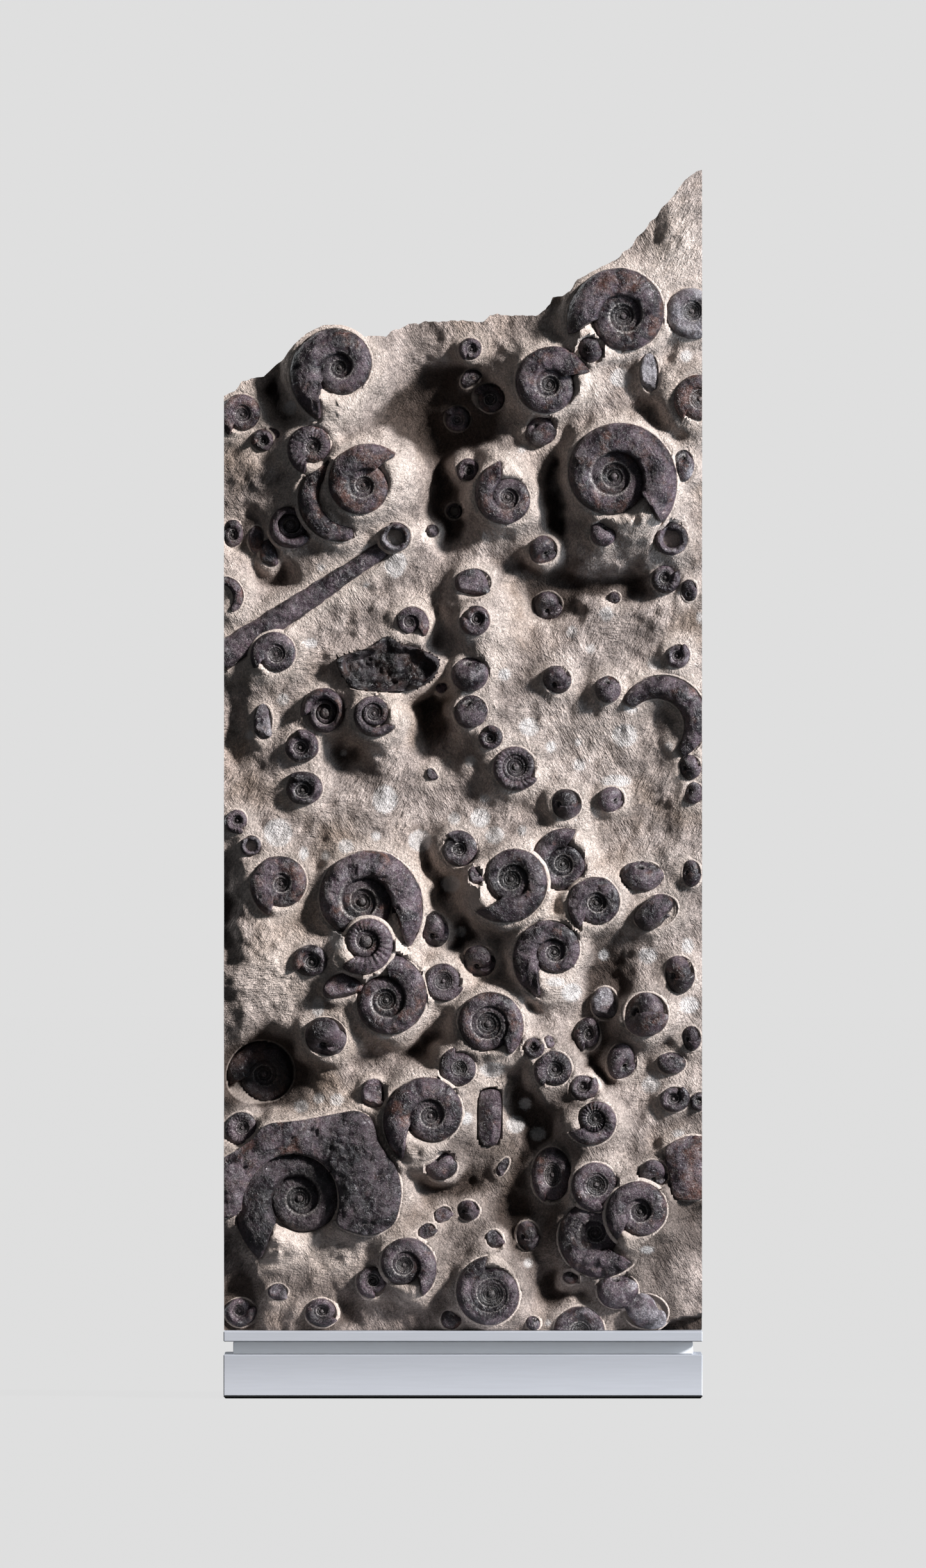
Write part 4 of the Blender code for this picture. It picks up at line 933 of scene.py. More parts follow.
@dataclass(frozen=True)
class RockFinish:
    """The prepared rock: tan grey with fine tool strokes, cream round the shells, and a dark brown in the
    hollows that is partly dirt and partly painted shade.
    """

    tan: tuple = rgb(190, 175, 168)
    grey: tuple = rgb(146, 134, 128)
    cream: tuple = rgb(214, 199, 189)
    ochre: tuple = rgb(160, 137, 117)
    dirt_and_shade: tuple = rgb(60, 49, 43)
    chalk: tuple = rgb(226, 223, 222)

    def build(self, effects: Effects) -> bpy.types.Material:
        """Builds the material."""
        material, shader, surface = new_material("prepared_rock")
        place = shader.place()
        grain = shader.add("Group", {"Vector": place, "Size": 420.0}, node_tree=effects.grain)
        strokes = shader.strokes(effects, place, 520.0)
        wide_strokes = shader.strokes(effects, place, 190.0)
        edge, hollow = shader.attribute("edge"), shader.attribute("hollow")
        cream, spot = shader.attribute("cream"), shader.attribute("spot")
        broad = shader.noise(place, 9.0, 3.0)

        colour = shader.blend(shader.ramp(grain.outputs["Patches"], 0.35, 0.65), self.grey, self.tan)
        colour = shader.blend(shader.ramp(broad, 0.50, 0.68, 0.0, 0.45), colour, self.ochre)
        wobble = shader.calc("MULTIPLY", shader.calc("SUBTRACT", grain.outputs["Patches"], 0.5), 0.8)
        colour = shader.blend(shader.calc("ADD", cream, wobble, clamp=True), colour, self.cream)
        # Blends in the dark brown: partly dirt, partly painted shade in the hollows, and a darkening towards
        # the bottom
        colour = shader.blend(shader.ramp(hollow, 0.12, 0.9, 0.0, 0.94), colour, self.dirt_and_shade)
        lines = shader.calc("ADD", strokes, shader.calc("MULTIPLY", wide_strokes, 0.9))
        shade = shader.ramp(lines, -0.22, 0.22, 0.70, 1.28)
        colour = shader.toned(0.8, colour, shade)
        speck = shader.ramp(grain.outputs["Speckle"], 0.32, 0.68, 0.72, 1.25)
        colour = shader.toned(0.9, colour, speck)
        lip = shader.ramp(shader.calc("ADD", edge, shader.calc("MULTIPLY", wobble, 2.0)), 0.8, 3.0, 0.35, 0.0)
        colour = shader.blend(lip, colour, self.cream)
        uneven = shader.calc("MULTIPLY", shader.calc("SUBTRACT", grain.outputs["Speckle"], 0.5), 9.0)
        ragged = shader.calc("ADD", spot, uneven)
        chalky = shader.ramp(ragged, -3.0, 2.0, 0.55, 0.0)
        colour = shader.blend(chalky, colour, self.chalk)

        clods = shader.calc("MULTIPLY", shader.noise(place, 85.0, 3.0, 0.6, 0.6), 5.0)
        broken = shader.ramp(shader.noise(place, 170.0, 3.0, 0.65, 1.2), 0.46, 0.54)
        chips = shader.ramp(shader.noise(place, 330.0, 2.0, 0.6, 0.8), 0.44, 0.56)
        height = shader.piled(clods, (lines, 4.2), (broken, 0.9), (chips, 0.45))
        height = shader.piled(height, (grain.outputs["Height"], 1.6))
        height = shader.calc("MULTIPLY", height, shader.ramp(edge, 0.0, 12.0, 0.45, 1.0))
        bump = shader.add("Bump", {"Height": height, "Distance": MM, "Strength": 1.0}).outputs[0]
        dull = {"Roughness": 0.9, "Specular IOR Level": 0.25}
        shader.feed(surface, {"Base Color": colour, "Normal": bump, **dull})
        return material


@dataclass(frozen=True)
class ShellFinish:
    """The fossil shells: dark purplish grey with brown patches, pale scratches and a waxy gloss, painted shade
    in the umbilicus and the inner whorls, and a pale seam line that is partly painted highlight.
    """

    dark: tuple = rgb(32, 24, 29)
    purple: tuple = rgb(86, 69, 79)
    brown: tuple = rgb(106, 75, 66)
    pale: tuple = rgb(152, 148, 153)
    # Pale colour of the scratches, also used for the painted highlight along the seams
    scratch_and_highlight: tuple = rgb(196, 188, 184)

    def build(self, effects: Effects) -> bpy.types.Material:
        """Builds the material."""
        material, shader, surface = new_material("fossil_shell")
        place = shader.place()
        grain = shader.add("Group", {"Vector": place, "Size": 520.0}, node_tree=effects.grain)
        strokes = shader.strokes(effects, place, 300.0)
        patches = shader.noise(place, 30.0, 4.0, 0.6, 0.4)
        colour = shader.blend(shader.ramp(patches, 0.40, 0.62), self.dark, self.purple)
        brown = shader.calc("MULTIPLY", shader.attribute("brown"), 0.26)
        rust = shader.calc("ADD", shader.noise(place, 46.0, 4.0, 0.6), brown)
        colour = shader.blend(shader.ramp(rust, 0.62, 0.84, 0.0, 0.8), colour, self.brown)
        pale = shader.calc("MULTIPLY", shader.attribute("pale"), 0.35)
        veil = shader.calc("ADD", shader.noise(place, 60.0, 3.0), pale)
        colour = shader.blend(shader.ramp(veil, 0.60, 0.95, 0.0, 0.9), colour, self.pale)
        curl = shader.noise(place, 190.0, 2.0, 0.5, 1.6)
        line = shader.calc("ABSOLUTE", shader.calc("SUBTRACT", curl, 0.5))
        scratched = shader.ramp(line, 0.003, 0.016, 1.0, 0.0)
        cluster = shader.ramp(shader.noise(place, 120.0, 2.0), 0.50, 0.60)
        marks = shader.calc("MULTIPLY", scratched, cluster)
        nick = shader.calc("SUBTRACT", shader.noise(place, 330.0, 2.0, 0.5, 2.0), 0.5)
        nick = shader.calc("ABSOLUTE", nick)
        nicked = shader.ramp(nick, 0.004, 0.020, 1.0, 0.0)
        nicked = shader.calc("MULTIPLY", nicked, shader.ramp(patches, 0.47, 0.57))
        marks = shader.calc("MAXIMUM", marks, shader.calc("MULTIPLY", nicked, 0.8))
        colour = shader.blend(shader.calc("MULTIPLY", marks, 0.75), colour, self.scratch_and_highlight)
        uneven = shader.ramp(grain.outputs["Speckle"], 0.35, 0.6)
        # Pale seam line: partly a real pale line, partly painted highlight where the umbilical shoulder
        # catches the light
        ridge = shader.calc("MULTIPLY", shader.attribute("ridge"), uneven)
        colour = shader.blend(shader.calc("MULTIPLY", ridge, 0.85), colour, self.scratch_and_highlight)
        shade = shader.ramp(grain.outputs["Speckle"], 0.35, 0.65, 0.54, 1.45)
        # depth is painted shade: it darkens the umbilicus's crease, the inner whorls and shells that lie in
        # shadow
        colour = shader.toned(1.0, colour, shader.calc("MULTIPLY", shade, shader.attribute("depth")))

        flakes = shader.noise(place, 190.0, 4.0, 0.62, 0.8)
        steps = shader.ramp(shader.noise(place, 210.0, 3.0, 0.6, 1.4), 0.47, 0.53)
        worn = shader.ramp(shader.noise(place, 42.0, 2.0), 0.38, 0.62, 0.4, 1.0)
        height = shader.calc("MULTIPLY", flakes, 3.2)
        height = shader.piled(height, (steps, 0.9), (strokes, 1.6))
        height = shader.piled(height, (grain.outputs["Height"], 0.7), (marks, 0.45))
        height = shader.calc("MULTIPLY", height, worn)
        bump = shader.add("Bump", {"Height": height, "Distance": MM, "Strength": 1.0}).outputs[0]
        gloss = shader.ramp(shader.noise(place, 90.0, 3.0), 0.35, 0.65, 0.27, 0.50)
        waxy = {"Roughness": gloss, "Specular IOR Level": 0.58}
        shader.feed(surface, {"Base Color": colour, "Normal": bump, **waxy})
        return material


@dataclass(frozen=True)
class PaintFinish:
    """The plinth's satin paint, a little lighter towards its foot as painted light, with faint wipe marks.

    glow stands for the light that the pale floor throws back into the recess.
    """

    name: str
    upper: tuple
    lower: tuple
    top: float
    foot: float
    roughness: float
    glow: float = 0.0

    def build(self) -> bpy.types.Material:
        """Builds the material."""
        material, shader, surface = new_material(self.name)
        place = shader.place()
        level = shader.add("SeparateXYZ", {0: place}).outputs["Z"]
        share = shader.ramp(level, self.foot * MM, self.top * MM)
        colour = shader.blend(share, self.lower, self.upper)
        stretched = shader.add("Mapping", {"Vector": place, "Scale": (3.0, 3.0, 60.0)}).outputs[0]
        wipes = shader.noise(stretched, 6.0, 3.0)
        colour = shader.toned(1.0, colour, shader.ramp(wipes, 0.3, 0.7, 0.975, 1.02))
        grain = shader.noise(place, 1400.0, 2.0)
        gloss = shader.ramp(wipes, 0.3, 0.7, self.roughness - 0.04, self.roughness + 0.04)
        bump = shader.add("Bump", {"Height": grain, "Distance": 0.05 * MM, "Strength": 0.6}).outputs[0]
        shader.feed(surface, {"Base Color": colour, "Roughness": gloss, "Normal": bump})
        # The glow is painted light
        shader.feed(surface, {"Emission Color": self.lower, "Emission Strength": self.glow})
        return material


@dataclass
class CoilBuilder:
    """Winds one coiled shell back from its aperture.

    sections is how many sections the last whorl gets in a turn. A section's corners are given by offsets,
    from the umbilicus to the rim, and by heights, as shares of the crown.
    """

    coil: Coil
    sections: int = 44
    levels: int = 1
    offsets: tuple[float, ...] = (
        0.0, 0.01, 0.05, 0.14, 0.28, 0.44, 0.60, 0.74, 0.86, 0.94, 0.99, 1.0, 0.96, 0.25,
    )
    heights: tuple[float, ...] = (
        0.05, 0.38, 0.64, 0.83, 0.96, 1.00, 0.95, 0.84, 0.67, 0.49, 0.27, 0.0, -0.35, -0.35,
    )

    def radius(self, turn: float | np.ndarray) -> float | np.ndarray:
        """The shell's radius a number of turns back from the aperture."""
        coil, first = self.coil, np.minimum(turn, 1.0)
        return coil.reach * coil.growth ** (-first) * coil.sculpture.inner_growth ** (-(turn - first))

    def stations(self) -> list[float]:
        """The turns at which the whorl gets a section, a little further apart in the inner whorls."""
        places = [0.0]
        while places[-1] < self.coil.sculpture.turns:
            coarser = 1.0 + 0.35 * min(places[-1], 3.0)
            places.append(places[-1] + coarser / self.sections)
        return places

    def wind(self) -> bpy.types.Object:
        """Sweeps the section round the coil's axis at the origin, as a closed tube."""
        coil, inner = self.coil, self.coil.umbilicus
        count = len(self.offsets)
        obj = primitive("circle", vertices=count, radius=MM)
        section = np.array([
            ((inner + (1.0 - inner) * across) * coil.reach, -tall * coil.sculpture.crown * coil.reach, 0.0)
            for across, tall in zip(self.offsets, self.heights)
        ])
        x, z = turned(section[:, 0], section[:, 2], coil.aperture)
        move_points(obj, np.stack([x, section[:, 1], z], axis=1))
        stations = self.stations()
        with editing(obj):
            for before, after in zip(stations, stations[1:]):
                size = float(self.radius(after) / self.radius(before))
                angle = -coil.hand * 2.0 * math.pi * (after - before)
                bpy.ops.mesh.extrude_region_move()
                bpy.ops.transform.rotate(value=angle, orient_axis="Y", center_override=(0, 0, 0))
                bpy.ops.transform.resize(value=(size, size, size), center_override=(0, 0, 0))
        paint(obj, "turn", np.repeat(np.array(stations), count))
        across = np.array([a if h >= 0 else 1.0 for a, h in zip(self.offsets, self.heights)])
        paint(obj, "across", np.tile(across, len(stations)))
        close_and_orient(obj)
        subdivide(obj, self.levels)
        return obj

    def sculpt(self, obj: bpy.types.Object) -> None:
        """Slants the mouth, sinks the inner whorls, and raises ribs, threads and rough relief."""
        coil, style = self.coil, self.coil.sculpture
        turn, across = painted(obj, "turn"), painted(obj, "across")
        points = points_of(obj)
        radius = self.radius(turn)
        slant = style.slant * (1.0 - across) ** 1.5 * np.clip(1.0 - turn / (4.0 * style.slant), 0.0, 1.0)
        x, z = points[:, 0], points[:, 2]
        angle = -coil.hand * 2.0 * math.pi * slant
        points[:, 0] = x * np.cos(angle) - z * np.sin(angle)
        points[:, 2] = x * np.sin(angle) + z * np.cos(angle)
        points[:, 1] *= style.sinking ** np.maximum(turn - 0.6, 0.0)
        move_points(obj, points)
        normals = normals_of(obj)
        thread = style.thread * np.exp(-(((across - 0.11) / 0.05) ** 2))
        lift = thread * radius
        if style.ribs:
            first = style.ribs_from
            shown = smooth_step(turn, first - 0.15, first + 0.15) if first else 1.0
            wave = 0.5 + 0.5 * np.cos(2.0 * math.pi * style.ribs * turn)
            faded = np.sin(math.pi * np.clip(across, 0.0, 1.0)) ** 0.5
            lift += style.rib_depth * radius * shown * wave * faded
        seed = int(abs(coil.x) * 7 + abs(coil.z) * 3)
        size = 0.35 + 0.65 * np.clip(radius / 60.0, 0.0, 1.0)
        worn = np.clip(1.4 - turn, 0.25, 1.0) * style.rugged * size
        chips = smooth_step(layered(points, 9.0, 2, seed + 9), 0.16, 0.34)
        lift += worn * (0.9 * layered(points, 15.0, 2, seed) - 0.8 * chips)
        points += normals * lift[:, None]
        points[:, 0] *= coil.squash
        move_points(obj, points)
        angles = np.arctan2(points[:, 2], points[:, 0]) + math.pi / 2.0
        paint(obj, "flow", flow_along(angles))
        # The pale line along the umbilical shoulder: partly pale seam, partly painted highlight
        paint(obj, "ridge", np.exp(-(((across - 0.11) / 0.06) ** 2)) * smooth_step(turn, 0.2, 0.9))
        # Painted shade in depth: darker at the umbilical wall and in the inner whorls, scaled by the shell's
        # own factor
        wall = smooth_step(across, 0.0, 0.16)
        inside = np.clip(1.12 - 0.38 * np.maximum(turn - 0.35, 0.0), 0.36, 1.0)
        paint(obj, "depth", coil.tone * (0.32 + 0.68 * wall) * inside)
        paint_flat(obj, brown=coil.brown, pale=coil.pale)

    def boss(self) -> bpy.types.Object:
        """The first chamber in the middle of the coil, which closes its hole."""
        coil = self.coil
        last = float(self.radius(coil.sculpture.turns)) * (coil.umbilicus + 0.15)
        obj = primitive("uv_sphere", segments=12, ring_count=6, radius=max(last, 1.5) * MM)
        points = points_of(obj)
        points[:, 1] *= 0.8
        points[:, 0] *= coil.squash
        move_points(obj, points)
        paint(obj, "flow", np.tile([1.0, 0.0, 0.0], (len(points), 1)))
        # The first chamber gets a share of the painted shade and of the pale seam line with its painted
        # highlight
        paint_flat(obj, turn=coil.sculpture.turns, across=0.5, ridge=0.3, depth=0.6)
        paint_flat(obj, brown=coil.brown, pale=coil.pale)
        return obj

    def build(self) -> bpy.types.Object:
        """The finished coil about the origin."""
        obj = self.wind()
        self.sculpt(obj)
        return joined(self.coil.name, [obj, self.boss()])

    def outline(self) -> np.ndarray:
        """The coil's outline on the slab, with its slanting mouth."""
        coil = self.coil
        back = np.linspace(0.0, 0.985, 72)
        angle = math.radians(coil.aperture) - coil.hand * 2.0 * math.pi * back
        radius = self.radius(back)
        points = self.on_slab(radius, angle)
        return points if coil.hand < 0 else points[::-1]

    def on_slab(self, radius: np.ndarray, angle: np.ndarray) -> np.ndarray:
        """Places on the slab from their distance and direction from the coil's middle."""
        coil = self.coil
        points = np.stack([radius * np.cos(angle) * coil.squash, radius * np.sin(angle)], axis=1)
        return points + np.array([coil.x, coil.z])

    def mound(self) -> np.ndarray:
        """The outline with the notch in front of the mouth filled by rock."""
        coil = self.coil
        ahead = np.linspace(0.0, 1.0, 72, endpoint=False)
        angle = math.radians(coil.aperture) + coil.hand * 2.0 * math.pi * ahead
        inner = coil.reach * coil.growth ** (ahead - 1.0)
        radius = inner + (coil.reach - inner) * (1.0 - smooth_step(ahead, 0.0, FILL))
        return self.on_slab(radius, angle)


def bed_under(obj: bpy.types.Object, beds: Sequence[Bed], own: Bed) -> None:
    """Presses a shell down where a higher one lies over it."""
    points = points_of(obj)
    for bed in beds:
        if bed.seat <= own.seat + SAME_SEAT:
            continue
        low, high = bed.outline.min(axis=0), bed.outline.max(axis=0)
        x, z = points[:, 0], points[:, 2] - SLAB_FOOT
        near = (x > low[0]) & (x < high[0]) & (z > low[1]) & (z < high[1])
        if not near.any():
            continue
        distance, _, _ = outline_distance(x[near], z[near], bed.outline)
        limit = bed.seat - 2.5 + np.clip(distance + 1.0, 0.0, 60.0) * 40.0
        points[near, 1] = np.maximum(points[near, 1], -limit)
    move_points(obj, points)


def saw_at_slab_faces(obj: bpy.types.Object) -> None:
    """Saws a shell off at the slab's sides and foot where it reaches past them."""
    points = points_of(obj)
    side = HALF_WIDTH - SEAT_GAP
    if points[:, 0].max() > side:
        saw_off(obj, (side, 0.0, 0.0), (1.0, 0.0, 0.0))
    if points[:, 0].min() < -side:
        saw_off(obj, (-side, 0.0, 0.0), (-1.0, 0.0, 0.0))
    if points[:, 2].min() < SLAB_FOOT + SEAT_GAP:
        saw_off(obj, (0.0, 0.0, SLAB_FOOT + SEAT_GAP), (0.0, 0.0, -1.0))


def put_on_slab(obj: bpy.types.Object, x: float, z: float, seat: float) -> None:
    """Moves a shell that was made about the origin to its place on the slab."""
    move_points(obj, points_of(obj) + np.array([x, -seat, SLAB_FOOT + z]))


def settle(obj: bpy.types.Object, x: float, z: float, own: Bed, beds: Sequence[Bed] = ()) -> None:
    """Puts a shell on its bed, presses it down under higher ones and saws it off at the slab's faces."""
    put_on_slab(obj, x, z, own.seat)
    bed_under(obj, beds, own)
    saw_at_slab_faces(obj)


@dataclass
class CoiledShells:
    """The coiled shells that are pieces of their own."""

    coils: Sequence[Coil] = field(default_factory=lambda: COILS)
    large: float = 55.0
    small: float = 30.0

    def builder(self, coil: Coil) -> CoilBuilder:
        """The builder of a coil, finer for a larger shell."""
        sections = 96 if coil.reach >= self.large else 64 if coil.reach >= self.small else 48
        return CoilBuilder(coil, sections)

    def beds(self) -> list[Bed]:
        """The coils' footprints."""
        return [
            Bed(
                self.builder(coil).outline(), seat_of(coil.name), coil.spread,
                coil.rim * (0.4 + 0.004 * coil.reach), coil=coil, mound=self.builder(coil).mound(),
            )
            for coil in self.coils
        ]

    def build(self, material: bpy.types.Material, beds: Sequence[Bed]) -> None:
        """Builds every coil and puts it in its bed."""
        own = {bed.coil.name: bed for bed in beds if bed.coil}
        for coil in self.coils:
            obj = self.builder(coil).build()
            obj.name = coil.name + "_shell"
            settle(obj, coil.x, coil.z, own[coil.name], beds)
            finish_piece(obj, material, [coil.name])


def ellipse(x: float, z: float, width: float, height: float, tilt: float, count: int = 36) -> np.ndarray:
    """An ellipse's outline, counter-clockwise."""
    angle = np.linspace(0.0, 2.0 * math.pi, count, endpoint=False)
    dx, dz = turned(width * np.cos(angle), height * np.sin(angle), tilt)
    return np.stack([x + dx, z + dz], axis=1)


def fit(obj: bpy.types.Object, width: float, height: float, depth: float, tilt: float) -> None:
    """Stretches a shell about the origin to half its width and height and to its depth, and tilts it."""
    points = points_of(obj)
    low, high = points.min(axis=0), points.max(axis=0)
    middle = (low + high) / 2.0
    points[:, 0] = (points[:, 0] - middle[0]) * 2.0 * width / (high[0] - low[0])
    points[:, 2] = (points[:, 2] - middle[2]) * 2.0 * height / (high[2] - low[2])
    points[:, 1] *= depth / -low[1]
    x, z = turned(points[:, 0], points[:, 2], tilt)
    points[:, 0], points[:, 2] = x, z
    move_points(obj, points)


def tipped(points: np.ndarray, tip: float, turn: float) -> np.ndarray:
    """Points turned so that the -Y axis leans by tip degrees towards the angle turn of the front view."""
    heading, lean = math.radians(turn), math.radians(tip)
    axis = np.array([-math.sin(heading), 0.0, math.cos(heading)])
    cross = np.cross(axis, points)
    along = points @ axis
    return points * math.cos(lean) + cross * math.sin(lean) + np.outer(along, axis) * (1.0 - math.cos(lean))


def set_flat_paint(obj: bpy.types.Object, brown: float, pale: float) -> None:
    """Stores what the shell's material reads: the colours all over, and the rest where the shell lacks it."""
    paint_flat(obj, brown=brown, pale=pale)
    for name, value in (("depth", 1.0), ("ridge", 0.0)):
        if name not in obj.data.attributes:
            paint_flat(obj, **{name: value})
    if "flow" not in obj.data.attributes:
        paint(obj, "flow", np.tile([1.0, 0.0, 0.0], (len(obj.data.vertices), 1)))


@dataclass
class RoundShells:
    """The round shells, seen from the rim: one inflated coil, turned and stretched for each."""

    balls: Sequence[Ball] = field(default_factory=lambda: BALLS)

    def master(self) -> bpy.types.Object:
        """The inflated coil that every round shell is a copy of."""
        coil = Coil("round_shell", 0.0, 0.0, 30.0, 0.0, 1, 1.35, 0.12, sculpture=GLOBE)
        heights = (0.55, 0.80, 0.95, 1.00, 0.93, 0.74, 0.45, 0.0, -0.74, -1.0)
        offsets = (0.0, 0.05, 0.14, 0.35, 0.62, 0.82, 0.95, 1.0, 0.82, 0.35)
        return CoilBuilder(coil, 36, offsets=offsets, heights=heights).build()

    def beds(self) -> list[Bed]:
        """The round shells' footprints."""
        return [
            Bed(ellipse(b.x, b.z, b.width, b.height, b.tilt), seat_of(b.name), PEDESTAL_SPREAD, 0.8)
            for b in self.balls
        ]

    def build(self, material: bpy.types.Material) -> bpy.types.Object:
        """Builds every round shell and returns the master."""
        master = self.master()
        for ball, own in zip(self.balls, self.beds()):
            obj = copied(master, ball.name + "_shell")
            move_points(obj, tipped(points_of(obj), ball.tip, ball.turn))
            fit(obj, ball.width, ball.height, ball.bulge * min(ball.width, ball.height), ball.tilt)
            set_flat_paint(obj, ball.brown, ball.pale)
            settle(obj, ball.x, ball.z, own)
            finish_piece(obj, material, [ball.name])
        return master


@dataclass
class WhorlPieces:
    """Lengths of single whorls: a half-round section led along an arc, thinner at its ends."""

    pieces: Sequence[Crescent] = field(default_factory=lambda: CRESCENTS)
    steps: int = 40
    section: tuple[tuple[float, float], ...] = (
        (-1.0, -0.2), (-0.97, 0.25), (-0.75, 0.62), (-0.35, 0.84), (0.1, 0.86), (0.55, 0.70), (0.87, 0.38),
        (1.0, -0.2),
    )

    def half_width(self, piece: Crescent, share: np.ndarray) -> np.ndarray:
        """Half the whorl's width along its length."""
        return (piece.outer - piece.inner) / 2.0 * (0.45 + 0.55 * np.sin(math.pi * share) ** 0.6)

    def outline(self, piece: Crescent) -> np.ndarray:
        """The whorl's outline on the slab."""
        share = np.linspace(0.0, 1.0, 24)
        angle = np.radians(piece.start + (piece.end - piece.start) * share)
        half, middle = self.half_width(piece, share), (piece.outer + piece.inner) / 2.0
        radius = np.concatenate([middle + half, (middle - half)[::-1]])
        around = np.concatenate([angle, angle[::-1]])
        return np.stack([piece.x + radius * np.cos(around), piece.z + radius * np.sin(around)], axis=1)

    def beds(self) -> list[Bed]:
        """The whorls' footprints."""
        return [Bed(self.outline(piece), seat_of(piece.name), PEDESTAL_SPREAD, 0.9) for piece in self.pieces]

    def build(self, material: bpy.types.Material, beds: Sequence[Bed]) -> None:
        """Builds every length of whorl."""
        for piece, own in zip(self.pieces, self.beds()):
            obj = self.sweep(piece)
            settle(obj, piece.x, piece.z, own, beds)
            finish_piece(obj, material, [piece.name])

    def sweep(self, piece: Crescent) -> bpy.types.Object:
        """Leads the section along the piece's arc about the origin."""
        obj = primitive("circle", vertices=len(self.section), radius=MM)
        share = np.linspace(0.0, 1.0, self.steps + 1)
        half, middle = self.half_width(piece, share), (piece.outer + piece.inner) / 2.0
        section = np.array(self.section)
        x, z = turned(middle + section[:, 0] * half[0], 0.0 * section[:, 0], piece.start)
        move_points(obj, np.stack([x, -section[:, 1] * half[0], z], axis=1))
        step = math.radians(piece.end - piece.start) / self.steps
        with editing(obj):
            for index in range(self.steps):
                angle = math.degrees(step * (index + 1)) + piece.start
                x, z = turned(middle, 0.0, angle)
                size = float(half[index + 1] / half[index])
                bpy.ops.mesh.extrude_region_move()
                bpy.ops.transform.rotate(value=step, orient_axis="Y", center_override=(0, 0, 0))
                bpy.ops.transform.resize(value=(size, size, size), center_override=(x * MM, 0.0, z * MM))
        obj.name = piece.name + "_shell"
        close_and_orient(obj)
        subdivide(obj, 2)
        push_out(obj, lambda p: 1.1 * layered(p, 11.0, 3, 5) - 0.8 * np.maximum(noise(p, 5.0, 3), 0.0))
        points = points_of(obj)
        angles = np.arctan2(points[:, 2], points[:, 0]) + math.pi / 2.0
        paint(obj, "flow", flow_along(angles))
        set_flat_paint(obj, piece.brown, 0.1)
        return obj


@dataclass
class StraightShell:
    """The long tapering shell: rings set one after another along its axis, with a waist at each chamber."""

    rod: Rod = STRAIGHT_SHELL
    chambers: int = 30
    flatness: float = 0.62
    waist: float = 0.975

    def corners(self) -> tuple[np.ndarray, np.ndarray, np.ndarray]:
        """The tail, the axis to the tip and the direction across it."""
        tail, tip = np.array(self.rod.tail, float), np.array(self.rod.tip, float)
        axis = tip - tail
        across = np.array([-axis[1], axis[0]]) / np.hypot(*axis)
        return tail, axis, across

    def bed(self) -> Bed:
        """The shell's footprint."""
        tail, axis, across = self.corners()
        wide, thin = across * self.rod.tail_width / 2.0, across * self.rod.tip_width / 2.0
        outline = np.array([tail - wide, tail + axis - thin, tail + axis + thin, tail + wide])
        return Bed(outline, seat_of(self.rod.name), PEDESTAL_SPREAD, 1.6)

    def build(self, material: bpy.types.Material) -> None:
        """Builds the straight shell."""
        tail, axis, across = self.corners()
        length = float(np.hypot(*axis))
        heading = math.degrees(math.atan2(axis[1], axis[0]))
        obj = primitive("circle", vertices=16, radius=self.rod.tail_width / 2.0 * MM)
        points = points_of(obj)
        points = np.stack([0.0 * points[:, 0], points[:, 1] * self.flatness, points[:, 0]], axis=1)
        move_points(obj, points)
        width = self.rod.tail_width
        rings = self.chambers * 3
        stride = length / rings
        with editing(obj):
            for ring in range(1, rings + 1):
                wanted = self.rod.tail_width + (self.rod.tip_width - self.rod.tail_width) * ring / rings
                wanted *= self.waist if ring % 3 == 0 else 1.0
                bpy.ops.mesh.extrude_region_move(TRANSFORM_OT_translate={"value": (stride * MM, 0.0, 0.0)})
                size = wanted / width
                centre = (ring * stride * MM, 0.0, 0.0)
                bpy.ops.transform.resize(value=(1.0, size, size), center_override=centre)
                width = wanted
        obj.name = self.rod.name + "_shell"
        close_and_orient(obj)
        subdivide(obj)
        push_out(obj, lambda p: 0.9 * layered(p, 14.0, 3, 8) - 0.8 * np.maximum(noise(p, 5.0, 4), 0.0))
        points = points_of(obj)
        x, z = turned(points[:, 0], points[:, 2], heading)
        points[:, 0], points[:, 2] = x, z
        move_points(obj, points)
        paint(obj, "flow", flow_along(np.full(len(points), math.radians(heading))))
        set_flat_paint(obj, 0.1, 0.1)
        settle(obj, tail[0], tail[1], self.bed())
        finish_piece(obj, material, [self.rod.name])


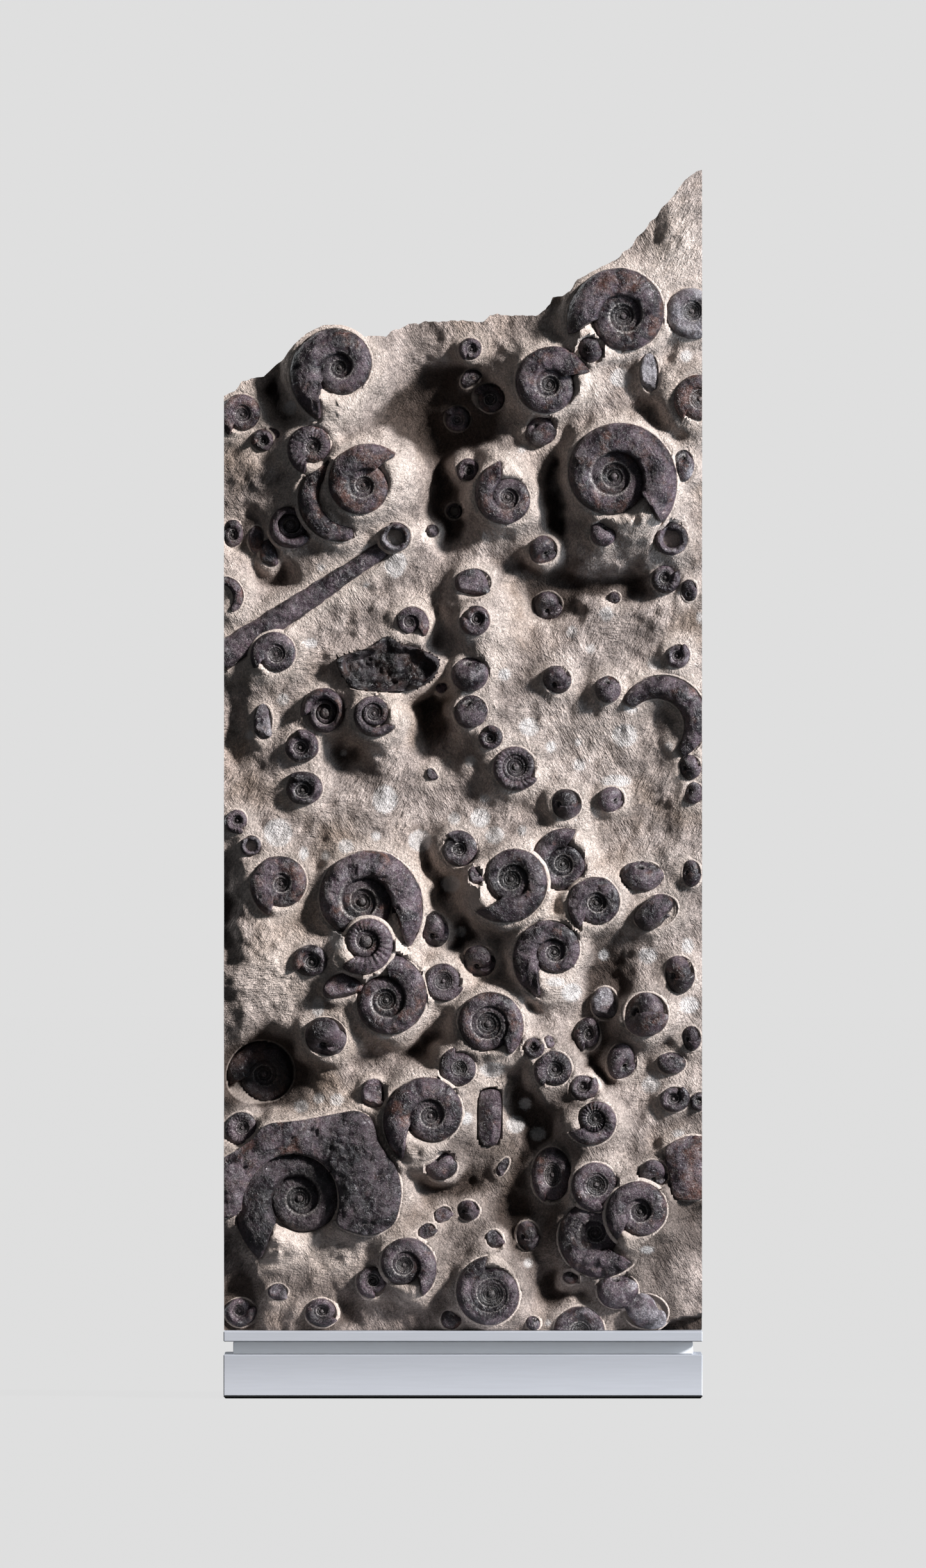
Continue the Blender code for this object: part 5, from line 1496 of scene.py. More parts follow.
@dataclass
class BrokenPlates:
    """The flat broken shells: an outline raised to its edge and eased at the rim, with flakes on it."""

    plates: Sequence[Plate] = field(default_factory=lambda: PLATES)
    voxel: float = 2.0

    def beds(self) -> list[Bed]:
        """The plates' footprints."""
        return [
            Bed(
                rounded(plate.outline), seat_of(plate.name), PEDESTAL_SPREAD, 0.9 * plate.cream, plate.cream,
                sink=plate.sink,
            )
            for plate in self.plates
        ]

    def build(self, material: bpy.types.Material, beds: Sequence[Bed]) -> None:
        """Builds every plate."""
        for plate, own in zip(self.plates, self.beds()):
            ring = own.outline
            obj = primitive("circle", vertices=len(ring), radius=MM, fill_type="NGON")
            obj.name = plate.name + "_shell"
            bottom = plate.sink + 3.0
            move_points(obj, np.stack([ring[:, 0], np.full(len(ring), bottom), ring[:, 1]], axis=1))
            depth = (plate.edge + bottom) * MM
            with editing(obj):
                bpy.ops.mesh.extrude_region_move(TRANSFORM_OT_translate={"value": (0.0, -depth, 0.0)})
            close_and_orient(obj)
            apply_modifier(obj, "REMESH", mode="VOXEL", voxel_size=self.voxel * MM)
            apply_modifier(obj, "SMOOTH", factor=0.5, iterations=4)
            self.shape(obj, plate, ring)
            paint_flat(obj, depth=plate.tone)
            set_flat_paint(obj, plate.brown, 0.1)
            if plate.turning:
                self.shade_across(obj, plate)
            settle(obj, 0.0, 0.0, own, beds)
            finish_piece(obj, material, [plate.name])

    @staticmethod
    def shade_across(obj: bpy.types.Object, plate: Plate) -> None:
        """Makes a plate browner at the left of its turning and darker at the right."""
        points = points_of(obj)
        place = points[:, 0] + 6.0 * noise(points, 14.0, 35) - plate.turning
        right = smooth_step(place, -10.0, 6.0)
        paint(obj, "brown", 0.55 - 0.55 * right)
        paint(obj, "depth", plate.tone * (1.0 - 0.30 * right))

    def shape(self, obj: bpy.types.Object, plate: Plate, ring: np.ndarray) -> None:
        """Crowns the plate's face, steps it up at the flakes and roughens it."""
        points = points_of(obj)
        x, z, plan = points[:, 0], points[:, 2], points[:, [0, 2]]
        front = smooth_step(-points[:, 1], 0.3 * plate.edge, 0.9 * plate.edge)
        inward = np.maximum(-outline_distance(x, z, ring)[0], 0.0)
        rise = plate.inset * 0.5 * smooth_step(inward, 0.0, plate.inset * 2.2)
        for flake in plate.flakes:
            depth = 3.0 * layered(plan, 9.0, 2, 21) - outline_distance(x, z, rounded(flake, 1))[0]
            rise += 1.8 * smooth_step(depth, -0.8, 0.8)
        rise -= plate.sink * smooth_step(inward + 3.0 * noise(plan, 12.0, 27), 3.0, 12.0)
        rough = 1.2 * layered(points, 12.0, 3, 31) - 1.2 * np.maximum(noise(points, 5.5, 32), 0.0) ** 2
        points[:, 1] -= front * (rise + plate.relief * rough)
        move_points(obj, points)


@dataclass
class SmallShells:
    """The small shells that grow out of the slab: one master for each form, copied, stretched and joined.

    They are joined by form and by part of the slab, and levels is where its middle and its high part begin.
    """

    smalls: Sequence[Small] = field(default_factory=lambda: SMALLS)
    levels: tuple[float, ...] = (430.0, 860.0)

    def beds(self) -> list[Bed]:
        """The small shells' footprints."""
        places = np.array([(small.x, small.z) for small in self.smalls], float)
        seats = ground(places[:, 0], places[:, 1]) + np.array([small.rise for small in self.smalls])
        return [
            Bed(ellipse(s.x, s.z, s.width, s.height, s.tilt, 24), float(seat), SMALL_SPREAD, 0.4, 0.8)
            for s, seat in zip(self.smalls, seats)
        ]

    def masters(self, globe: bpy.types.Object) -> dict[Kind, bpy.types.Object]:
        """One shell of each form about the origin, with a radius of about 20."""
        smooth = replace(SMOOTH, turns=3.2, crown=0.36)
        ribbed = replace(RIBBED, ribs=18, turns=3.2, crown=0.36)
        deep = replace(DEEP, turns=2.4, crown=0.4)
        plain = Coil("small_coil", 0, 0, 20.0, 0.0, 1, 1.5, 0.42, sculpture=smooth)
        cup = replace(plain, name="small_cup", umbilicus=0.55, sculpture=deep)
        return {
            Kind.COIL: CoilBuilder(plain, 24).build(),
            Kind.RIBBED: CoilBuilder(replace(plain, name="small_ribbed", sculpture=ribbed), 40).build(),
            Kind.CUP: CoilBuilder(cup, 28).build(),
            Kind.RING: self.ring(),
            Kind.ROUND: copied(globe, "small_round"),
            Kind.FRAGMENT: self.fragment(),
        }

    def ring(self) -> bpy.types.Object:
        """A ring with a flattened top and a shallow notch."""
        obj = primitive(
            "torus", major_radius=15.0 * MM, minor_radius=5.2 * MM, major_segments=32, minor_segments=10,
            rotation=(math.radians(90.0), 0.0, 0.0),
        )
        bpy.ops.object.transform_apply(location=True, rotation=True, scale=True)
        with editing(obj):
            bpy.ops.transform.resize(value=(1.0, 1.25, 1.0), center_override=(0, 0, 0))
        subdivide(obj)
        points = points_of(obj)
        notch = np.exp(-(((np.arctan2(points[:, 2], points[:, 0]) - 2.0) / 0.25) ** 2))
        push_out(obj, lambda p: 0.8 * layered(p, 6.0, 2, 2) - 1.6 * notch)
        return obj

    def fragment(self) -> bpy.types.Object:
        """A broken lump with a few flat breaks, softened at their edges."""
        obj = primitive("ico_sphere", subdivisions=3, radius=20.0 * MM)
        saw_off(obj, (0, -9, 0), (0.25, -1, 0.2))
        saw_off(obj, (13, 0, 0), (1, -0.5, 0.3))
        saw_off(obj, (0, 0, -14), (-0.2, -0.4, -1))
        apply_modifier(obj, "BEVEL", width=1.5 * MM, segments=2, limit_method="ANGLE")
        apply_modifier(obj, "TRIANGULATE")
        apply_modifier(obj, "REMESH", mode="VOXEL", voxel_size=2.0 * MM)
        push_out(obj, lambda p: layered(p, 8.0, 3, 12))
        return obj

    def build(
        self, material: bpy.types.Material, globe: bpy.types.Object, own_beds: Sequence[Bed],
        beds: Sequence[Bed],
    ) -> None:
        """Builds every small shell and joins them by form and by part of the slab.

        Args:
            material: The shells' material.
            globe: The master of the round shells.
            own_beds: The small shells' own footprints, in their order.
            beds: The footprints of all the shells.
        """
        masters = self.masters(globe)
        groups: dict[tuple[str, int], list[bpy.types.Object]] = {}
        for small, own in zip(self.smalls, own_beds):
            obj = self.one(masters[small.kind], small)
            settle(obj, small.x, small.z, own, beds)
            part = sum(small.z >= level for level in self.levels)
            groups.setdefault((small.kind.value, part), []).append(obj)
        for (form, part), objects in groups.items():
            name = f"small_{form}_{('low', 'middle', 'high')[part]}"
            finish_piece(joined(name, objects), material)
        for master in masters.values():
            bpy.data.objects.remove(master)

    def one(self, master: bpy.types.Object, small: Small) -> bpy.types.Object:
        """A copy of a master, turned, stretched and worn for one small shell."""
        obj = copied(master, "small_shell")
        points = points_of(obj)
        depth = 0.55 * min(small.width, small.height)
        if small.kind is Kind.ROUND:
            points = tipped(points, 50.0, small.aperture)
            depth = 0.75 * min(small.width, small.height)
        else:
            points[:, 0] *= small.hand
            x, z = turned(points[:, 0], points[:, 2], small.aperture)
            points = np.stack([x, points[:, 1], z], axis=1)
        move_points(obj, points)
        fit(obj, small.width, small.height, depth, small.tilt)
        if small.hand < 0 and small.kind is not Kind.ROUND:
            close_and_orient(obj)
        seed = int(abs(small.x) + 5 * abs(small.z))
        push_out(obj, lambda p: 0.5 * layered(p, 7.0, 2, seed))
        set_flat_paint(obj, small.brown, small.pale)
        return obj


@dataclass
class Rims:
    """The thin raised rims of rock that hold the shells: one closed strip round each shell's outline.

    section gives the strip's corners: how far they stand outside the outline, and their height as a share of
    the rim's own height plus a fixed part.
    """

    section: tuple[tuple[float, float, float], ...] = (
        (-1.0, 0.0, -3.0), (-0.2, 0.80, 0.0), (0.5, 1.0, 0.0), (1.3, 0.55, 0.0), (2.4, 0.0, -1.0),
        (4.0, 0.0, -4.5), (1.5, 0.0, -5.5),
    )

    def strip(self, bed: Bed, beds: Sequence[Bed]) -> bpy.types.Object:
        """One rim, which sinks into the rock close to a higher shell, or a plate's rim close to a coil."""
        ring = bed.outline if bed.mound is None else bed.mound
        area = np.sum(ring[:, 0] * np.roll(ring[:, 1], -1) - ring[:, 1] * np.roll(ring[:, 0], -1))
        ring = ring if area > 0.0 else ring[::-1]
        along = np.roll(ring, -1, axis=0) - np.roll(ring, 1, axis=0)
        length = np.maximum(np.hypot(along[:, 0], along[:, 1]), 1e-6)
        outward = np.stack([along[:, 1], -along[:, 0]], axis=1) / length[:, None]
        obj = primitive("circle", vertices=len(ring), radius=MM)
        with editing(obj):
            for _ in self.section:
                bpy.ops.mesh.extrude_region_move()
        gap = np.abs(outline_distance(ring[:, 0], ring[:, 1], bed.outline)[0])
        sunk = 6.0 * smooth_step(gap, 1.0, 4.0)
        for other in beds:
            if other.seat > bed.seat or (bed.coil is None and other.coil is not None):
                distance = outline_distance(ring[:, 0], ring[:, 1], other.outline)[0]
                sunk += 14.0 * smooth_step(-distance, -6.0, 0.0)
        worn = 1.0 + 0.35 * noise(ring, 9.0, 5) + 0.2 * noise(ring, 3.5, 6)
        points = []
        for offset, share, base in (*self.section, self.section[0]):
            place = ring + outward * (offset * (0.8 + 0.3 * worn))[:, None]
            height = bed.seat + base + share * bed.lip * worn - sunk
            points.append(np.stack([place[:, 0], -height, place[:, 1] + SLAB_FOOT], axis=1))
        move_points(obj, np.concatenate(points))
        with editing(obj):
            bpy.ops.mesh.remove_doubles(threshold=1e-6)
            bpy.ops.mesh.normals_make_consistent(inside=False)
        return obj

    def build(self, material: bpy.types.Material, beds: Sequence[Bed]) -> None:
        """Builds every rim and joins them."""
        strips = []
        for bed in beds:
            if bed.lip == 0.0:
                continue
            obj = self.strip(bed, beds)
            bed_under(obj, beds, bed)
            saw_at_slab_faces(obj)
            set_rock_paint(obj)
            # A rim that sits low gets the dark brown: dirt and painted shade, as on the low ground
            sunk = float(smooth_step(np.array([18.0 - bed.seat]), -4.0, 16.0)[0])
            paint_flat(obj, edge=1.5, cream=0.65 * bed.cream, hollow=sunk)
            strips.append(obj)
        finish_piece(joined("shell_rims", strips), material)


@dataclass
class RockSlab:
    """The slab of rock: a fine front that rises to every shell, sawn sides, a broken top and a rough back."""

    columns: int = 192
    rows: int = 404
    side_steps: int = 7
    back_columns: int = 30
    back_rows: int = 68
    jag: float = 1.6

    def top(self, x: np.ndarray) -> np.ndarray:
        """The height of the broken top edge over the slab's foot."""
        edge = np.array(TOP_EDGE, float)
        rough = self.jag * layered(np.stack([x, 0.0 * x], axis=1), 7.0, 3, 77)
        return np.interp(x, edge[:, 0], edge[:, 1]) + rough * (1.0 - smooth_step(np.abs(x), 280.0, 298.0))

    def grid(self, columns: int, rows: int) -> bpy.types.Object:
        """A grid primitive with that many squares across and up, from -1 to 1 on X and Y."""
        return primitive("grid", x_subdivisions=columns, y_subdivisions=rows, size=2.0)

    def build(self, material: bpy.types.Material, beds: Sequence[Bed]) -> None:
        """Builds the slab."""
        obj = self.grid(self.columns, self.rows)
        plan = points_of(obj) * MM
        x = plan[:, 0] * HALF_WIDTH
        share = (plan[:, 1] + 1.0) / 2.0
        z = share * self.top(x)
        border = (np.abs(np.abs(plan[:, :2]) - 1.0) < ON_BORDER).any(axis=1)
        x, z = self.snapped(x, z, border, beds)
        relief = Relief(x, z, beds)
        move_points(obj, np.stack([x, -relief.height, z + SLAB_FOOT], axis=1))
        self.extrude_sides(obj)
        back = self.back()
        self.paint_all(obj, relief)
        set_rock_paint(back, strokes=False)
        obj = joined("rock_slab", [obj, back])
        self.bridge(obj)
        finish_piece(obj, material, ["matrix_slab"])

    def snapped(
        self, x: np.ndarray, z: np.ndarray, border: np.ndarray, beds: Sequence[Bed]
    ) -> tuple[np.ndarray, np.ndarray]:
        """Moves the points that lie close to a shell's outline onto it, so that the rock meets it cleanly."""
        spacing = 2.0 * HALF_WIDTH / self.columns
        x, z = x.copy(), z.copy()
        for bed in beds:
            low, high = bed.outline.min(axis=0) - spacing, bed.outline.max(axis=0) + spacing
            near = np.flatnonzero((x > low[0]) & (x < high[0]) & (z > low[1]) & (z < high[1]) & ~border)
            distance, px, pz = outline_distance(x[near], z[near], bed.outline)
            close = np.abs(distance) < SNAP_SHARE * spacing
            inside = np.abs(px) < HALF_WIDTH - spacing
            chosen = close & inside & (pz > spacing)
            x[near[chosen]], z[near[chosen]] = px[chosen], pz[chosen]
        return x, z

    def extrude_sides(self, obj: bpy.types.Object) -> None:
        """Leads the front's border backwards in steps: flat at the sawn sides and foot, broken at the top."""
        front = points_of(obj)
        with editing(obj):
            select_open_edges()
            for _ in range(self.side_steps):
                bpy.ops.mesh.extrude_edges_move(TRANSFORM_OT_translate={"value": (0.0, FIRST_STEP * MM, 0.0)})
            bpy.ops.mesh.select_mode(type="VERT")
        points = points_of(obj)
        count = (len(points) - len(front)) // self.side_steps
        ring = points[len(front): len(front) + count]
        start = ring[:, 1] - FIRST_STEP
        z = ring[:, 2] - SLAB_FOOT
        upper = smooth_step(z - NEAR_TOP * self.top(ring[:, 0]), -1.0, 2.0)
        upper *= smooth_step(z, SAWN_UP_TO, BROKEN_FROM)
        for step in range(self.side_steps):
            part = slice(len(front) + step * count, len(front) + (step + 1) * count)
            share = (step + 1) / self.side_steps
            depth = start * (1.0 - share) + back_depth(ring[:, 0], z) * share
            places = np.stack([ring[:, 0], depth, ring[:, 2]], axis=1)
            wave = math.sin(math.pi * share) * (4.0 * layered(places, 26.0, 3, 50) + 1.5)
            places[:, 2] -= upper * (wave + 3.0 * share)
            points[part] = places
        move_points(obj, points)

    def back(self) -> bpy.types.Object:
        """The rough back, a coarse grid a little inside the slab's outline."""
        obj = self.grid(self.back_columns, self.back_rows)
        plan = points_of(obj) * MM
        x = plan[:, 0] * (HALF_WIDTH - BACK_MARGIN)
        share = (plan[:, 1] + 1.0) / 2.0
        z = BACK_MARGIN + share * (self.top(x) - 2.0 * BACK_MARGIN - 3.0)
        rough = 2.2 * layered(np.stack([x, z], axis=1), 42.0, 3, 60)
        depth = back_depth(x, z) + rough
        move_points(obj, np.stack([x, depth, z + SLAB_FOOT], axis=1))
        return obj

    def bridge(self, obj: bpy.types.Object) -> None:
        """Bridges the sides' last ring with the back's border and turns the faces outwards."""
        with editing(obj):
            select_open_edges()
            bpy.ops.mesh.bridge_edge_loops()
            bpy.ops.mesh.select_mode(type="VERT")
            bpy.ops.mesh.select_all(action="SELECT")
            bpy.ops.mesh.normals_make_consistent(inside=False)

    def paint_all(self, obj: bpy.types.Object, relief: "Relief") -> None:
        """Stores what the rock's material reads on the front, and plain values on the sides."""
        set_rock_paint(obj)
        count = len(relief.height)
        for name in ("edge", "hollow", "cream", "spot"):
            values = painted(obj, name)
            values[:count] = getattr(relief, name)
            paint(obj, name, values)
        flow = np.tile([FAINT, 0.0, 0.0], (len(obj.data.vertices), 1))
        flow[:count] = relief.flow
        paint(obj, "flow", flow)


def back_depth(x: np.ndarray, z: np.ndarray) -> np.ndarray:
    """How far the split back lies behind the plane y = 0."""
    wave = np.sin(x / 83.0 + 0.8) * np.cos(z / 121.0) + 0.5 * np.sin((x + z) / 47.0)
    return BACK_DEPTH + BACK_ROUGHNESS * (wave - 1.0) / 1.5


def set_rock_paint(obj: bpy.types.Object, strokes: bool = True) -> None:
    """Stores plain values for the rock's material all over an object, with faint strokes or none."""
    points = points_of(obj)
    paint_flat(obj, edge=FAR, spot=FAR, hollow=0.25, cream=0.0)
    flow = flow_along(2.5 * layered(points, 160.0, 2, 6))
    paint(obj, "flow", (FAINT if strokes else 0.0) * flow)


class Relief:
    """The front's height at many places, and what its material reads there."""

    def __init__(self, x: np.ndarray, z: np.ndarray, beds: Sequence[Bed]) -> None:
        """Works out the relief from the lowest bed to the highest."""
        self.x, self.z = x, z
        self.base = ground(x, z)
        self.plain = ground(x, z, hollows=False)
        self.height = self.base.copy()
        self.edge = np.full(x.shape, FAR)
        self.cream = np.zeros(x.shape)
        self.covered = np.zeros(x.shape, dtype=bool)
        plan = np.stack([x, z], axis=1)
        self.flow = flow_along(1.2 + 1.1 * layered(plan, 150.0, 2, 40) + 0.9 * noise(plan, 45.0, 44))
        for bed in sorted(beds, key=lambda item: item.seat):
            self.raise_to(bed)
        self.hollow_out()
        self.roughen(plan)
        self.spot = self.spot_distance(plan)
        self.hollow = self.hollow_share()
        # Pale rock and painted light on lit slopes: lighter here, with the painted shade and dirt taken out
        for px, pz, width, tall, share in PALE_ROCK_AND_PAINTED_LIGHT:
            near = share * np.exp(-(((x - px) / width) ** 2 + ((z - pz) / tall) ** 2))
            self.cream = np.maximum(self.cream, near)
            self.hollow *= 1.0 - near
        self.cream *= 1.0 - 0.8 * self.hollow

    def raise_to(self, bed: Bed) -> None:
        """Raises the rock round one shell and leaves it flat under the shell."""
        low, high = bed.outline.min(axis=0) - BED_REACH, bed.outline.max(axis=0) + BED_REACH
        across = (self.x > low[0]) & (self.x < high[0])
        near = np.flatnonzero(across & (self.z > low[1]) & (self.z < high[1]))
        x, z = self.x[near], self.z[near]
        distance, px, pz = outline_distance(x, z, bed.outline)
        away = distance if bed.mound is None else outline_distance(x, z, bed.mound)[0]
        outside = np.maximum(np.minimum(away, distance), 0.0)
        covered = self.covered[near]
        wobble = 1.0 + 0.35 * noise(np.stack([x, z], axis=1), 17.0, int(bed.seat))
        share = np.exp(-((outside / (SHOULDER * bed.spread * wobble)) ** 2))
        base, height = self.base[near], self.height[near]
        link = LINK_SHARE * np.maximum(bed.seat - self.plain[near], 0.0)
        link *= np.exp(-((outside / LINK_REACH) ** 2))
        open_rise = merged(np.maximum(height - base, 0.0), np.maximum(bed.seat - base, 0.0) * share)
        open_rise = merged(open_rise, link)
        on_shell = height + np.maximum(bed.seat - height, 0.0) * np.exp(-outside / COVERED_SPREAD)
        height = np.where(covered, on_shell, np.maximum(base + open_rise, np.minimum(height, base)))
        under = smooth_step(-distance, 0.2, 2.5)
        held = (distance < ON_OUTLINE) & ~covered
        height = np.where(held, np.minimum(height, bed.seat), height)
        floor = height * (1.0 - under) + (bed.seat - bed.sink - 3.0) * under
        height = np.where(distance < 0.0, floor, height)
        if bed.coil and bed.coil.reach > SMALLEST_WEDGE:
            height, filled = self.mouth(bed, x, z, height)
            self.cream[near] = np.maximum(self.cream[near], 0.35 * filled)
        self.height[near] = height
        self.edge[near] = np.minimum(self.edge[near], outside)
        self.cream[near] = np.maximum(self.cream[near], 0.8 * bed.cream * share * np.where(covered, 0.6, 1.0))
        away_from = np.arctan2(z - pz, x - px) + 0.35
        hug = np.exp(-outside / STROKE_REACH)[:, None]
        self.flow[near] = self.flow[near] * (1.0 - hug) + flow_along(away_from) * hug
        self.covered[near] |= distance < ON_OUTLINE

    @staticmethod
    def mouth(bed: Bed, x: np.ndarray, z: np.ndarray, height: np.ndarray) -> tuple[np.ndarray, np.ndarray]:
        """The height with the wedge of rock that still fills a coil's mouth, and where that wedge is."""
        coil = bed.coil
        dx, dz = (x - coil.x) / coil.squash, z - coil.z
        radius = np.hypot(dx, dz)
        ahead = coil.hand * (np.arctan2(dz, dx) - math.radians(coil.aperture))
        ahead = (ahead + math.pi) % (2.0 * math.pi) - math.pi
        share_ahead = np.clip(ahead / (2.0 * math.pi), 0.0, 1.0)
        inner = coil.reach * coil.growth ** (share_ahead - 1.0)
        outer = inner + (coil.reach - inner) * (1.0 - smooth_step(share_ahead, 0.0, FILL))
        across = np.clip((radius - inner) / np.maximum(outer - inner, 1.0), 0.0, 2.0)
        late = ahead + 2.0 * math.pi * coil.sculpture.slant * np.clip(1.0 - across, 0.0, 1.0) ** 1.5
        filled = np.interp(across, WEDGE_OFFSETS, WEDGE_HEIGHTS)
        filled *= smooth_step(late, -0.10, 0.04)
        filled *= 1.0 - smooth_step(share_ahead, 0.0, FILL)
        rough = 0.85 + 0.3 * noise(np.stack([x, z], axis=1), 7.0, 33)
        top = bed.seat + coil.mouth * coil.sculpture.crown * coil.reach * rough
        return height + np.maximum(top - height, 0.0) * filled, filled

    def hollow_out(self) -> None:
        """Sinks the notch at the lower right corner."""
        distance, _, _ = outline_distance(self.x, self.z, np.array(CORNER_HOLLOW, float))
        deep = smooth_step(-distance, -2.0, 2.0)
        self.height = self.height * (1.0 - deep) + HOLLOW_HEIGHT * deep

    def roughen(self, plan: np.ndarray) -> None:
        """Adds the uneven work of the chisel, finer near the shells."""
        wild = 0.18 + 0.82 * smooth_step(self.edge, 2.0, 22.0)
        rough = 2.8 * layered(plan, 30.0, 2, 11) + 2.2 * layered(plan, 11.0, 2, 15)
        pits = -3.0 * np.maximum(noise(plan, 15.0, 19) - 0.2, 0.0)
        self.height += wild * (rough + pits)

    def spot_distance(self, plan: np.ndarray) -> np.ndarray:
        """The distance to the rim of the nearest pale spot, negative inside it."""
        nearest = np.full(len(plan), FAR)
        for x, z, width, height in SPOTS:
            share = np.hypot((plan[:, 0] - x) / width, (plan[:, 1] - z) / height)
            nearest = np.minimum(nearest, (share - 1.0) * math.sqrt(width * height))
        return nearest

    def hollow_share(self) -> np.ndarray:
        """How much of the dark brown each place gets: dirt and painted shade, most in the deep hollows."""
        plan = np.stack([self.x, self.z], axis=1)
        # Painted shade and dirt where the rock lies low or sits in a hollow
        deep = smooth_step(26.0 - self.height, -2.0, 28.0)
        sunk = smooth_step(self.plain - self.base, 4.0, 26.0)
        sunk *= 1.0 - smooth_step(self.height - self.base, 6.0, 30.0)
        # Darker towards the bottom of the slab
        lower = 0.32 * (1.0 - smooth_step(self.z, 480.0, 640.0))
        lower += 0.16 * (1.0 - smooth_step(self.z, 180.0, 340.0))
        return np.clip(np.maximum(deep, 0.9 * sunk) + lower + 0.25 * layered(plan, 60.0, 2, 70), 0.0, 1.0)


@dataclass
class Plinth:
    """The plinth's solids with their finishes: satin paint, the recess and the black foot. The recess, a
    darker grey on the real plinth, is painted much lighter and glows a little, as painted light against the
    top plate's shadow.
    """

    def dress(self) -> None:
        """Assigns the materials to the plinth's solids."""
        even = rgb(180, 183, 190)
        finishes = {
            "plinth_top": PaintFinish("plinth_top_paint", even, even, 84.0, 71.0, 0.42),
            # The block is painted lighter towards its foot: painted light
            "plinth_block": PaintFinish(
                "plinth_paint", rgb(171, 174, 181), rgb(193, 196, 203), 55.0, 3.0, 0.42
            ),
            # Painted light: a pale paint and a faint glow that stand in for light reaching the recess under
            # the top plate
            "plinth_neck": PaintFinish(
                "recess_paint_with_painted_light", rgb(214, 217, 220), rgb(222, 225, 228), 71.0, 55.0, 0.5, 0.09
            ),
            "foot_pad": PaintFinish("foot_rubber", rgb(22, 22, 23), rgb(16, 16, 17), 3.0, 0.0, 0.8),
        }
        for name, finish in finishes.items():
            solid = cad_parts[name]
            solid.data.materials.clear()
            solid.data.materials.append(finish.build())
            LOG.info("%s: dressed", name)


@dataclass(frozen=True)
class Lamp:
    """A lamp at a place in metres.

    A sun points at the origin and has an angle. An area lamp has a width, a height and a spread, and points at
    a height on the slab's middle line. Angles are in degrees.
    """

    name: str
    kind: str
    energy: float
    colour: tuple[float, float, float]
    place: tuple[float, float, float]
    angle: float = 0.0
    size: tuple[float, float] = (1.0, 1.0)
    spread: float = 180.0
    target: float = 0.0


# A grazing key from the upper right, a cool panel, a low strip for the plinth, and one behind for the back
LAMPS = (
    Lamp("key", "SUN", 6.1, (1.0, 0.975, 0.965), (0.76, -0.46, 0.45), 8.0),
    Lamp("panel", "AREA", 34.0, (0.72, 0.86, 1.0), (2.1, -0.75, 1.1), size=(0.9, 2.0), target=0.77),
    Lamp(
        "strip", "AREA", 0.016, (1.0, 1.0, 1.0), (0.0, -1.6, 0.045), size=(0.7, 0.05), spread=7.0,
        target=0.045,
    ),
    Lamp("behind", "SUN", 2.3, (0.96, 0.98, 1.0), (-0.55, 0.78, 0.42), 50.0),
)


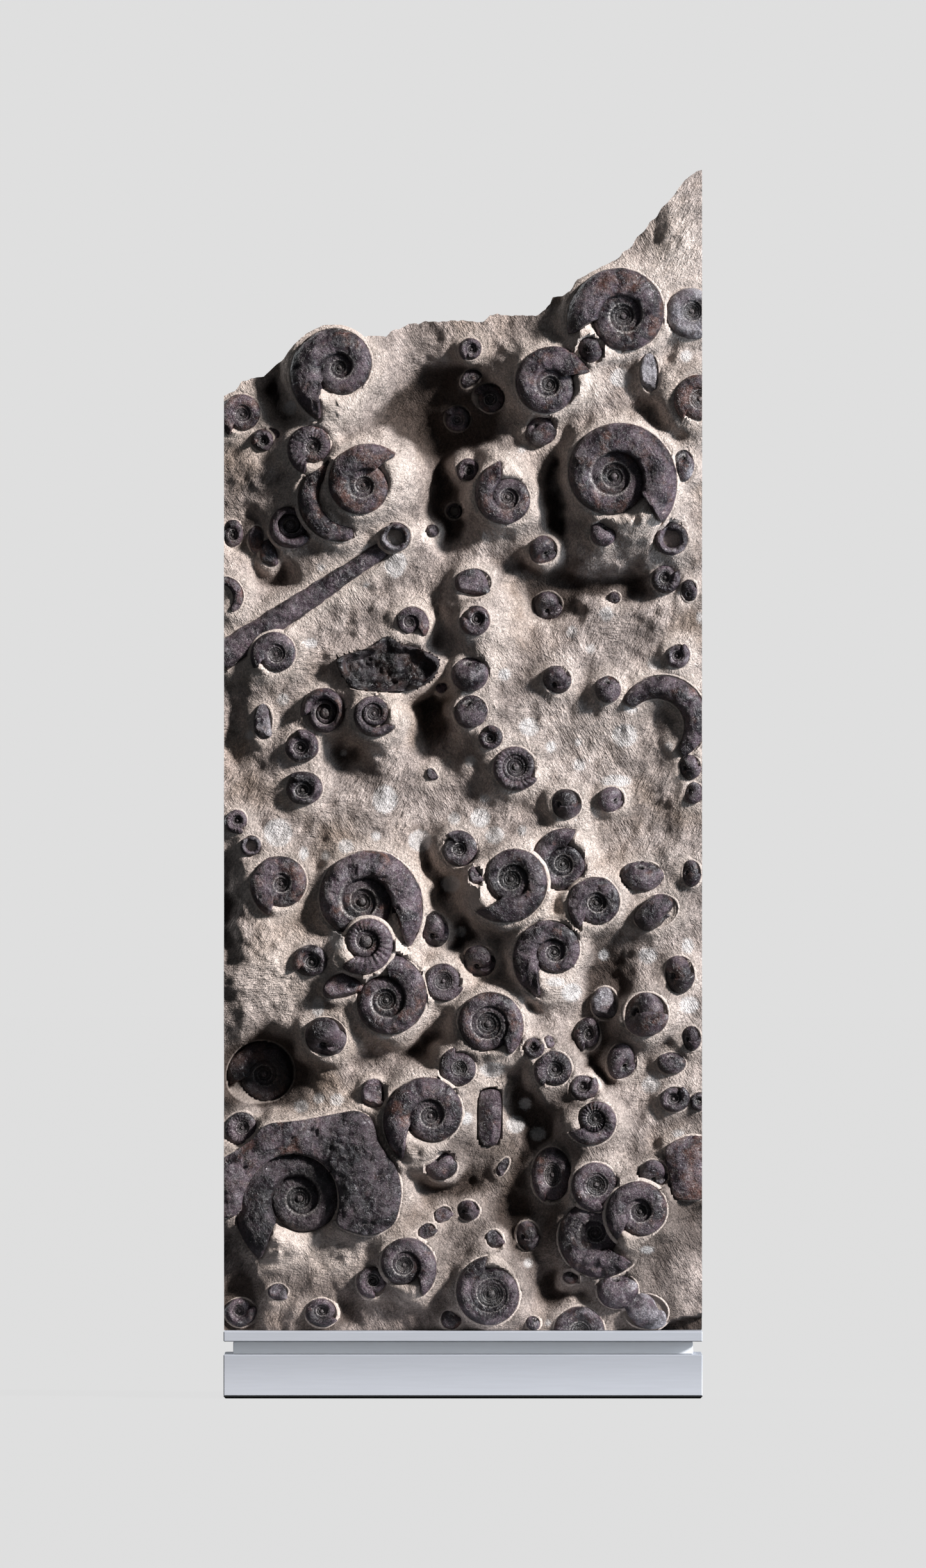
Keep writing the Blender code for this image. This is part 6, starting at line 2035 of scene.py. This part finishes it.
@dataclass
class Studio:
    """The plain pale floor, the soft lights and the camera that looks straight at the slab."""

    lens: float = 900.0
    sensor: float = 36.0
    eye: float = 769.6
    frame_height: float = 1967.0
    slab_front: float = 45.0
    pale: tuple = rgb(223, 223, 223)

    def floor(self) -> None:
        """A wide floor that glows in the background's own colour, so that its far end can't be seen."""
        obj = primitive("circle", vertices=64, radius=80.0, fill_type="NGON")
        obj.name = "studio_floor"
        material, shader, surface = new_material("studio_floor")
        dark = (0.014, 0.014, 0.014, 1.0)
        shader.feed(surface, {"Base Color": dark, "Roughness": 1.0, "Specular IOR Level": 0.0})
        shader.feed(surface, {"Emission Color": self.pale, "Emission Strength": 0.975})
        obj.data.materials.append(material)
        obj.visible_diffuse = obj.visible_glossy = False

    def background(self) -> None:
        """The pale background for the eye, and a dim even light for the object."""
        world = bpy.data.worlds.new("studio")
        bpy.context.scene.world = world
        world.use_nodes = True
        shader = Shader(world.node_tree)
        seen = world.node_tree.nodes["Background"]
        shader.feed(seen, {"Color": self.pale, "Strength": 1.0})
        dim = shader.add("Background", {"Color": (0.86, 0.93, 1.0, 1.0), "Strength": 0.07})
        path = shader.add("LightPath")
        looks = {0: path.outputs["Is Camera Ray"], 1: dim.outputs[0], 2: seen.outputs[0]}
        mixed = shader.add("MixShader", looks)
        shader.tree.links.new(mixed.outputs[0], shader.tree.nodes["World Output"].inputs["Surface"])

    @staticmethod
    def lights() -> None:
        """Adds the lamps."""
        for lamp in LAMPS:
            data = bpy.data.lights.new(lamp.name, lamp.kind)
            data.energy, data.color = lamp.energy, lamp.colour
            if lamp.kind == "SUN":
                data.angle = math.radians(lamp.angle)
            else:
                data.shape, data.spread = "RECTANGLE", math.radians(lamp.spread)
                data.size, data.size_y = lamp.size
            obj = bpy.data.objects.new(lamp.name, data)
            obj.visible_camera = False
            bpy.context.scene.collection.objects.link(obj)
            obj.location = lamp.place
            obj.rotation_mode = "QUATERNION"
            heading = Vector((0.0, 0.0, lamp.target)) - obj.location
            obj.rotation_quaternion = heading.to_track_quat("-Z", "Y")

    def camera(self) -> None:
        """The camera, level and straight in front, whose frame is frame_height tall at the slab's front."""
        data = bpy.data.cameras.new("camera")
        data.lens, data.sensor_width = self.lens, self.sensor
        distance = self.frame_height * MM * self.lens / self.sensor
        data.clip_end = 200.0
        obj = bpy.data.objects.new("camera", data)
        obj.location = (0.0, -self.slab_front * MM - distance, self.eye * MM)
        obj.rotation_euler = (math.radians(90.0), 0.0, 0.0)
        bpy.context.scene.collection.objects.link(obj)
        bpy.context.scene.camera = obj

    def build(self) -> None:
        """Sets up the studio."""
        self.floor()
        self.background()
        self.lights()
        self.camera()
        bpy.context.scene.view_settings.view_transform = "Standard"


def main() -> None:
    """Builds the looks, piece by piece."""
    logging.basicConfig(level=logging.INFO, format="%(message)s")
    effects = Effects()
    rock = RockFinish().build(effects)
    shell = ShellFinish().build(effects)
    Studio().build()

    coils, rounds, whorls = CoiledShells(), RoundShells(), WhorlPieces()
    straight, plates = StraightShell(), BrokenPlates()
    beds = coils.beds() + rounds.beds() + whorls.beds() + [straight.bed()] + plates.beds()
    smalls = SmallShells()
    small_beds = smalls.beds()
    beds = beds + small_beds
    RockSlab().build(rock, beds)
    Rims().build(rock, beds)
    coils.build(shell, beds)
    globe = rounds.build(shell)
    whorls.build(shell, beds)
    straight.build(shell)
    plates.build(shell, beds)
    smalls.build(shell, globe, small_beds, beds)
    bpy.data.objects.remove(globe)
    Plinth().dress()


if __name__ == "__main__":
    main()
